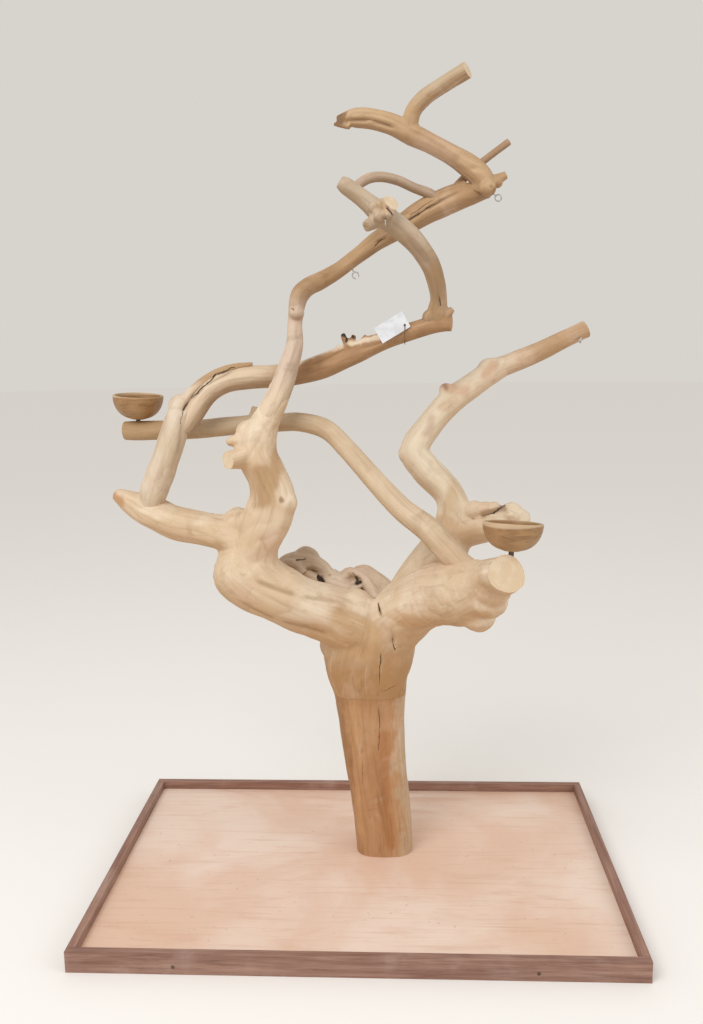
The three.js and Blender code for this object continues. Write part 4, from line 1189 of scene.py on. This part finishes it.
# ------------------------------
# Central branch: carries the stem on upwards, bends at an elbow and climbs to the right, where a
# long dark split runs along it. The top branch and two twigs are dowelled into it.
central, central_ends = grown(
    "central_branch_wood",
    [
        [
            (-270, -124, 1078, 24), (-256, -122, 1106, 28), (-232, -120, 1148, 26.5),
            (-207, -108, 1214, 24), (-189, -106, 1270, 20), (-187, -101, 1321, 17),
            (-176, -99, 1378, 21), (-157, -96, 1397, 20.5), (-130, -92, 1409, 20),
            (-85, -86, 1435, 17.5), (-40, -80, 1468, 18), (4, -74, 1500, 21),
            (70, -65, 1535, 24.5), (137, -60, 1568, 26), (203, -60, 1592, 25),
            (244, -60, 1602, 19),
        ],
        [(40, -62, 1532, 13), (84, -64, 1562, 14), (140, -62, 1592, 14), (196, -62, 1612, 12)],
    ],
    [(-183, -108, 1340, 18)],
    seed=31,
    voxel=0.0026,
    passes=5,
    marks=[(-190, -124, 1352, 6, -5)],
    grooves=[
        ((40, -95, 1520), (100, -90, 1556), 5, 5.0), ((100, -90, 1556), (184, -90, 1604), 5, 6.0),
        ((-4, -95, 1489), (20, -95, 1500), 5, 4.0),
    ],
    cuts=(0,),
)
central_wood = limb_wood(
    "central_limb_wood", "#bd9a73", "#a9845d", "#775a3e", "#946f4b",
    fades=[("Z", 1.33, 1.45, "#d6bfab"), ("Z", 1.16, 1.25, "#dfc9ae")],
    cracks_and_hollow_shade=[
        ((44, -90, 1522), (100, -88, 1556), 2.2), ((100, -88, 1556), (184, -88, 1604), 2.6),
        ((70, -84, 1548), (130, -84, 1584), 1.3), ((-8, -92, 1484), (8, -92, 1496), 1.7),
        ((-196, -120, 1356), (-184, -120, 1344), 1.3),
    ],
)
dressed(central, central_ends, "central_branch", central_wood, brown_cut)


# ------------------------------
# Top branch: leaves the central branch's end, runs back over to the left and ends in a torn
# split tip. A forked twig with a pale sawn end points up to the right.
top, top_ends = grown(
    "top_branch_wood",
    [
        [
            (226, -70, 1596, 22), (229, -76, 1620, 26), (202, -74, 1647, 26), (163, -70, 1674, 22),
            (121, -65, 1698, 21.5), (76, -60, 1721, 24), (39, -54, 1742, 23), (-4, -48, 1756, 22),
            (-49, -44, 1762, 20.5), (-89, -40, 1759, 9),
        ],
        [
            (71, -62, 1725, 18), (78, -70, 1765, 18), (102, -76, 1791, 17.5),
            (148, -88, 1818, 17.5), (193, -110, 1838, 18),
        ],
        [(244, -74, 1610, 16), (264, -70, 1622, 12), (280, -66, 1630, 9)],
        [(-60, -50, 1744, 8), (-84, -48, 1748, 6), (-96, -46, 1750, 4)],
    ],
    [(240, -92, 1600, 19), (262, -72, 1614, 12)],
    seed=37,
    voxel=0.0025,
    passes=5,
    marks=[(248, -112, 1600, 6, -3), (282, -70, 1632, 4, -4)],
    grooves=[
        ((-80, -68, 1752), (-15, -75, 1751), 5, 6.0), ((-15, -75, 1751), (34, -80, 1733), 5, 5.0),
        ((240, -90, 1640), (200, -100, 1640), 6, 2.5),
    ],
    cuts=(1, 2),
)
top_wood = limb_wood(
    "top_limb_wood", "#c6a680", "#b08d66", "#785a3e", "#966f4b",
    fades=[("Z", 1.84, 1.78, "#bfa88a"), ("X", -0.035, -0.01, "#80603f")],
    cracks_and_hollow_shade=[((-82, -66, 1753), (-15, -72, 1752), 2.8), ((-15, -72, 1752), (34, -78, 1733), 2.4)],
    stains_and_shade=[
        ((250, -112, 1598), (254, -110, 1602), 16, "#96704d"),
        # Painted shade: this stain darkens a shaded stretch of the branch's middle.
        ((170, -75, 1664), (115, -68, 1698), 17, "#a98761"),
    ],
)
dressed(top, top_ends, "top_branch", top_wood, pale_cut)


# ------------------------------
# Twigs: two thin branches dowelled into the central branch, one straight and orange-brown, one
# curved across to the hook.
thin, thin_ends = grown(
    "thin_twig_wood",
    [[(150, -52, 1582, 8.5), (178, -38, 1616, 9), (230, -20, 1664, 8.3), (293, -5, 1711, 8)]],
    seed=41,
    voxel=0.0016,
    passes=3,
    relief=0.7,
    cuts=(0,),
)
twig_brown = limb_wood("brown_twig_wood", "#ab8a6b", "#997657", "#6f5038", "#836146")
dressed(thin, thin_ends, "thin_twig", twig_brown, pale_cut)
curved, curved_ends = grown(
    "curved_twig_wood",
    [
        [
            (140, -61, 1572, 10), (118, -67, 1592, 12), (79, -80, 1606, 11), (44, -100, 1619, 11),
            (10, -120, 1624, 11), (-18, -140, 1618, 11), (-42, -157, 1600, 10),
            (-50, -170, 1585, 8),
        ]
    ],
    seed=43,
    voxel=0.0019,
    passes=3,
    relief=0.7,
)
twig_grey = limb_wood("grey_twig_wood", "#c0a891", "#ab917a", "#7d6149", "#937557")
dressed(curved, curved_ends, "curved_twig", twig_grey)


# ------------------------------
# Bowls: two food bowls turned from brown hardwood and oiled. Each turns on one screw through
# its foot, on a short steel spacer.
def bowl_wood(name, middle):
    material, tree, place = blank(name)
    centred = put(tree, "ShaderNodeMapping", {"Vector": place, "Location": [-v for v in middle]})
    centred = centred.outputs["Vector"]
    grain = noise(tree, stretched(tree, centred, (9, 70, 110)), 1.0, 7, 0.62, 0.8)
    lathe = noise(tree, stretched(tree, centred, (6, 6, 420)), 1.0, 3, 0.5)
    cloud = noise(tree, centred, 14, 4, 0.5, 0.6)
    colour = mixed(tree, banded(tree, cloud, 0.35, 0.68), shade("#966d45"), shade("#a98357"))
    colour = mixed(tree, banded(tree, grain, 0.46, 0.72, 0, 0.65), colour, shade("#704a2c"))
    colour = mixed(tree, banded(tree, lathe, 0.55, 0.75, 0, 0.25), colour, shade("#583519"))
    level = put(tree, "ShaderNodeSeparateXYZ", {"Vector": centred}).outputs["Z"]
    colour = mixed(tree, banded(tree, level, 0.0240, 0.0287, 0, 0.6), colour, shade("#dcc4a2"))
    facing = put(tree, "ShaderNodeNewGeometry").outputs["Normal"]
    painted_top_light = put(tree, "ShaderNodeSeparateXYZ", {"Vector": facing}).outputs["Z"]
    # Painted light: faces turned upwards are lightened.
    colour = mixed(tree, banded(tree, painted_top_light, 0.0, 0.4, 0, 0.4), colour, shade("#c9ab84"))
    rough = banded(tree, cloud, 0.3, 0.7, 0.4, 0.55)
    finished(tree, colour, rough, lathe, 0.0003, 0.3)
    return material


BOWL_RADIUS, BOWL_DEPTH, BOWL_WALL = 0.061, 0.058, 0.0055
BOWL_FOOT = 0.0176  # its underside, above the seat
SCREW_ROOM = 0.0031  # radius of the hole for the screw
QUARTER_STEPS, TURN_STEPS = 24, 72


def bowed(step, radius, depth):
    """A point of the bowl's side, from the foot at step 0 up to the rim."""
    angle = math.pi / 2 * step / QUARTER_STEPS
    top = BOWL_FOOT + BOWL_DEPTH
    return math.sin(angle) ** 0.78 * radius, top - math.cos(angle) ** 0.95 * depth


bowl_top, bowl_floor = BOWL_FOOT + BOWL_DEPTH, BOWL_FOOT + BOWL_WALL
outside = [bowed(step, BOWL_RADIUS, BOWL_DEPTH) for step in range(3, QUARTER_STEPS + 1)]
outside = [(r, h) for r, h in outside if r > 0.0185]
outside[-1] = (BOWL_RADIUS, bowl_top - 0.0016)
inner_radius, inner_depth = BOWL_RADIUS - BOWL_WALL, BOWL_DEPTH - BOWL_WALL
inside = [bowed(step, inner_radius, inner_depth) for step in range(QUARTER_STEPS, 0, -1)]
inside[0] = (inner_radius, bowl_top - 0.0016)
profile = [
    (SCREW_ROOM, BOWL_FOOT),
    (0.016, BOWL_FOOT),
    (0.018, BOWL_FOOT + 0.0012),
    *outside,
    (BOWL_RADIUS - 0.0008, bowl_top - 0.0003),
    (BOWL_RADIUS - 0.0026, bowl_top),
    (BOWL_RADIUS - 0.0046, bowl_top - 0.0003),
    *((r, max(h, bowl_floor)) for r, h in inside if r > 0.006),
    (SCREW_ROOM, bowl_floor),
]
for side, seat, lean in (
    ("left", (-596, 50, 1080), (3, 3.5)),
    ("right", (267, -380, 838), (-6, 3.5)),
):
    lean_x, lean_y = (Matrix.Rotation(math.radians(lean[i]), 4, "XY"[i]) for i in (0, 1))
    seated = Matrix.Translation(at(seat)) @ (lean_y @ lean_x)
    data = bpy.data.meshes.new(side + "_bowl_turned")
    loop = [(i, (i + 1) % len(profile)) for i in range(len(profile))]
    data.from_pydata([(r, 0, h) for r, h in profile], loop, [])
    bowl = bpy.data.objects.new(side + "_turned_bowl", data)
    scene.collection.objects.link(bowl)
    picked(bowl)
    bpy.ops.object.mode_set(mode="EDIT")
    bpy.ops.mesh.select_all(action="SELECT")
    bpy.ops.mesh.spin(steps=TURN_STEPS, angle=2 * math.pi, center=(0, 0, 0), axis=(0, 0, 1))
    bpy.ops.mesh.select_all(action="SELECT")
    bpy.ops.mesh.remove_doubles(threshold=0.00001)
    bpy.ops.mesh.normals_make_consistent(inside=False)
    bpy.ops.object.mode_set(mode="OBJECT")
    data.transform(seated)
    middle = seated @ Vector((0, 0, BOWL_FOOT + BOWL_DEPTH / 2))
    coated(bowl, bowl_wood(side + "_bowl_wood", middle))
    bpy.ops.object.shade_smooth_by_angle(angle=math.radians(40))
    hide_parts(side + "_bowl")
    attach(bowl, side + "_bowl")


# ------------------------------
# Screw eyes: bent zinc-plated wire, each a closed ring on a threaded shank, screwed into the
# branches for hanging toys.
RING_RADIUS, WIRE_RADIUS = 0.007, 0.0014
for name, ring, anchor, facing in (
    ("screw_eye_end", (266, -60, 1583), (241, -60, 1603), "Y"),
    ("screw_eye_under", (-51, -82, 1421), (-64, -82, 1447), "Y"),
    ("screw_eye_hook", (18, -204, 1520), (18, -170, 1534), "X"),
    ("screw_eye_tip", (471, 36, 1272), (471, 64, 1288), "X"),
):
    middle, root = at(ring), at(anchor)
    turn = (math.pi / 2, 0, 0) if facing == "Y" else (0, math.pi / 2, 0)
    bpy.ops.object.select_all(action="DESELECT")
    bpy.ops.mesh.primitive_torus_add(
        location=middle,
        rotation=turn,
        major_radius=RING_RADIUS,
        minor_radius=WIRE_RADIUS,
        major_segments=40,
        minor_segments=14,
    )
    eye = bpy.context.object
    outward = (middle - root).normalized()
    neck = middle - outward * RING_RADIUS  # the threaded shank runs from here to its root
    bpy.ops.mesh.primitive_cone_add(
        vertices=16,
        radius1=0.0006,
        radius2=WIRE_RADIUS * 1.1,
        depth=(neck - root).length,
        location=(neck + root) / 2,
        rotation=outward.to_track_quat("Z", "Y").to_euler(),
    )
    eye.select_set(True)
    bpy.context.view_layer.objects.active = eye
    bpy.ops.object.join()
    bpy.ops.object.transform_apply(location=True, rotation=True, scale=True)
    eye.name = name.replace("screw_", "wire_")
    coated(eye, steel)
    bpy.ops.object.shade_smooth_by_angle(angle=math.radians(50))
    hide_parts(name)
    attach(eye, "stand")


# ------------------------------
# Tag: a blank white card with a punched hole near its lower right corner. A
# brown rubber band through the hole holds it on the sweep.
def card():
    material, tree, place = blank("white_card")
    pulp = noise(tree, place, 900, 3, 0.6)
    cloud = noise(tree, place, 60, 3, 0.5)
    colour = mixed(tree, banded(tree, cloud, 0.35, 0.7), shade("#e2e4e9"), shade("#d2d5db"))
    colour = mixed(tree, banded(tree, pulp, 0.55, 0.75, 0, 0.2), colour, shade("#c9cbcd"))
    finished(tree, colour, banded(tree, pulp, 0.3, 0.7, 0.75, 0.9), pulp, 0.0001, 0.2)
    return material


def rubber():
    material, tree, place = blank("brown_rubber")
    dust = noise(tree, place, 300, 4, 0.6)
    colour = mixed(tree, banded(tree, dust, 0.35, 0.7), shade("#5a4531"), shade("#7a6146"))
    finished(tree, colour, banded(tree, dust, 0.3, 0.7, 0.5, 0.75), dust, 0.0002, 0.3)
    return material


coated(nodes["tag"], card())

BAND_REACH = 0.0255  # from the sweep's middle to the band
band_middle = at((58, -77, 1293))
band_shape = [
    (0, 1), (-0.55, 0.92), (-1.06, 0.68), (-1.22, 0.4), (-1.2, 0), (-0.95, -0.5), (-0.5, -0.9),
    (0.1, -1.03), (0.7, -0.8), (1.04, -0.2), (0.95, 0.5), (0.55, 0.9),
]
BAND_THICKNESS = 0.0018
band_curve = bpy.data.curves.new("tag_band_line", "CURVE")
band_curve.dimensions = "3D"
band_curve.bevel_depth = BAND_THICKNESS / 2
band_curve.bevel_resolution = 4
band_curve.resolution_u = 8
loop = band_curve.splines.new("NURBS")
loop.points.add(len(band_shape) - 1)
for point, (y, z) in zip(loop.points, band_shape):
    point.co = (*(band_middle + Vector((0, y, z)) * BAND_REACH), 1)
loop.use_cyclic_u = True
loop.order_u = 4
band = bpy.data.objects.new("rubber_band", band_curve)
scene.collection.objects.link(band)
picked(band)
bpy.ops.object.convert(target="MESH")
band = bpy.context.object
coated(band, rubber())
bpy.ops.object.shade_smooth()
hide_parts("tag_band")
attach(band, "stand")
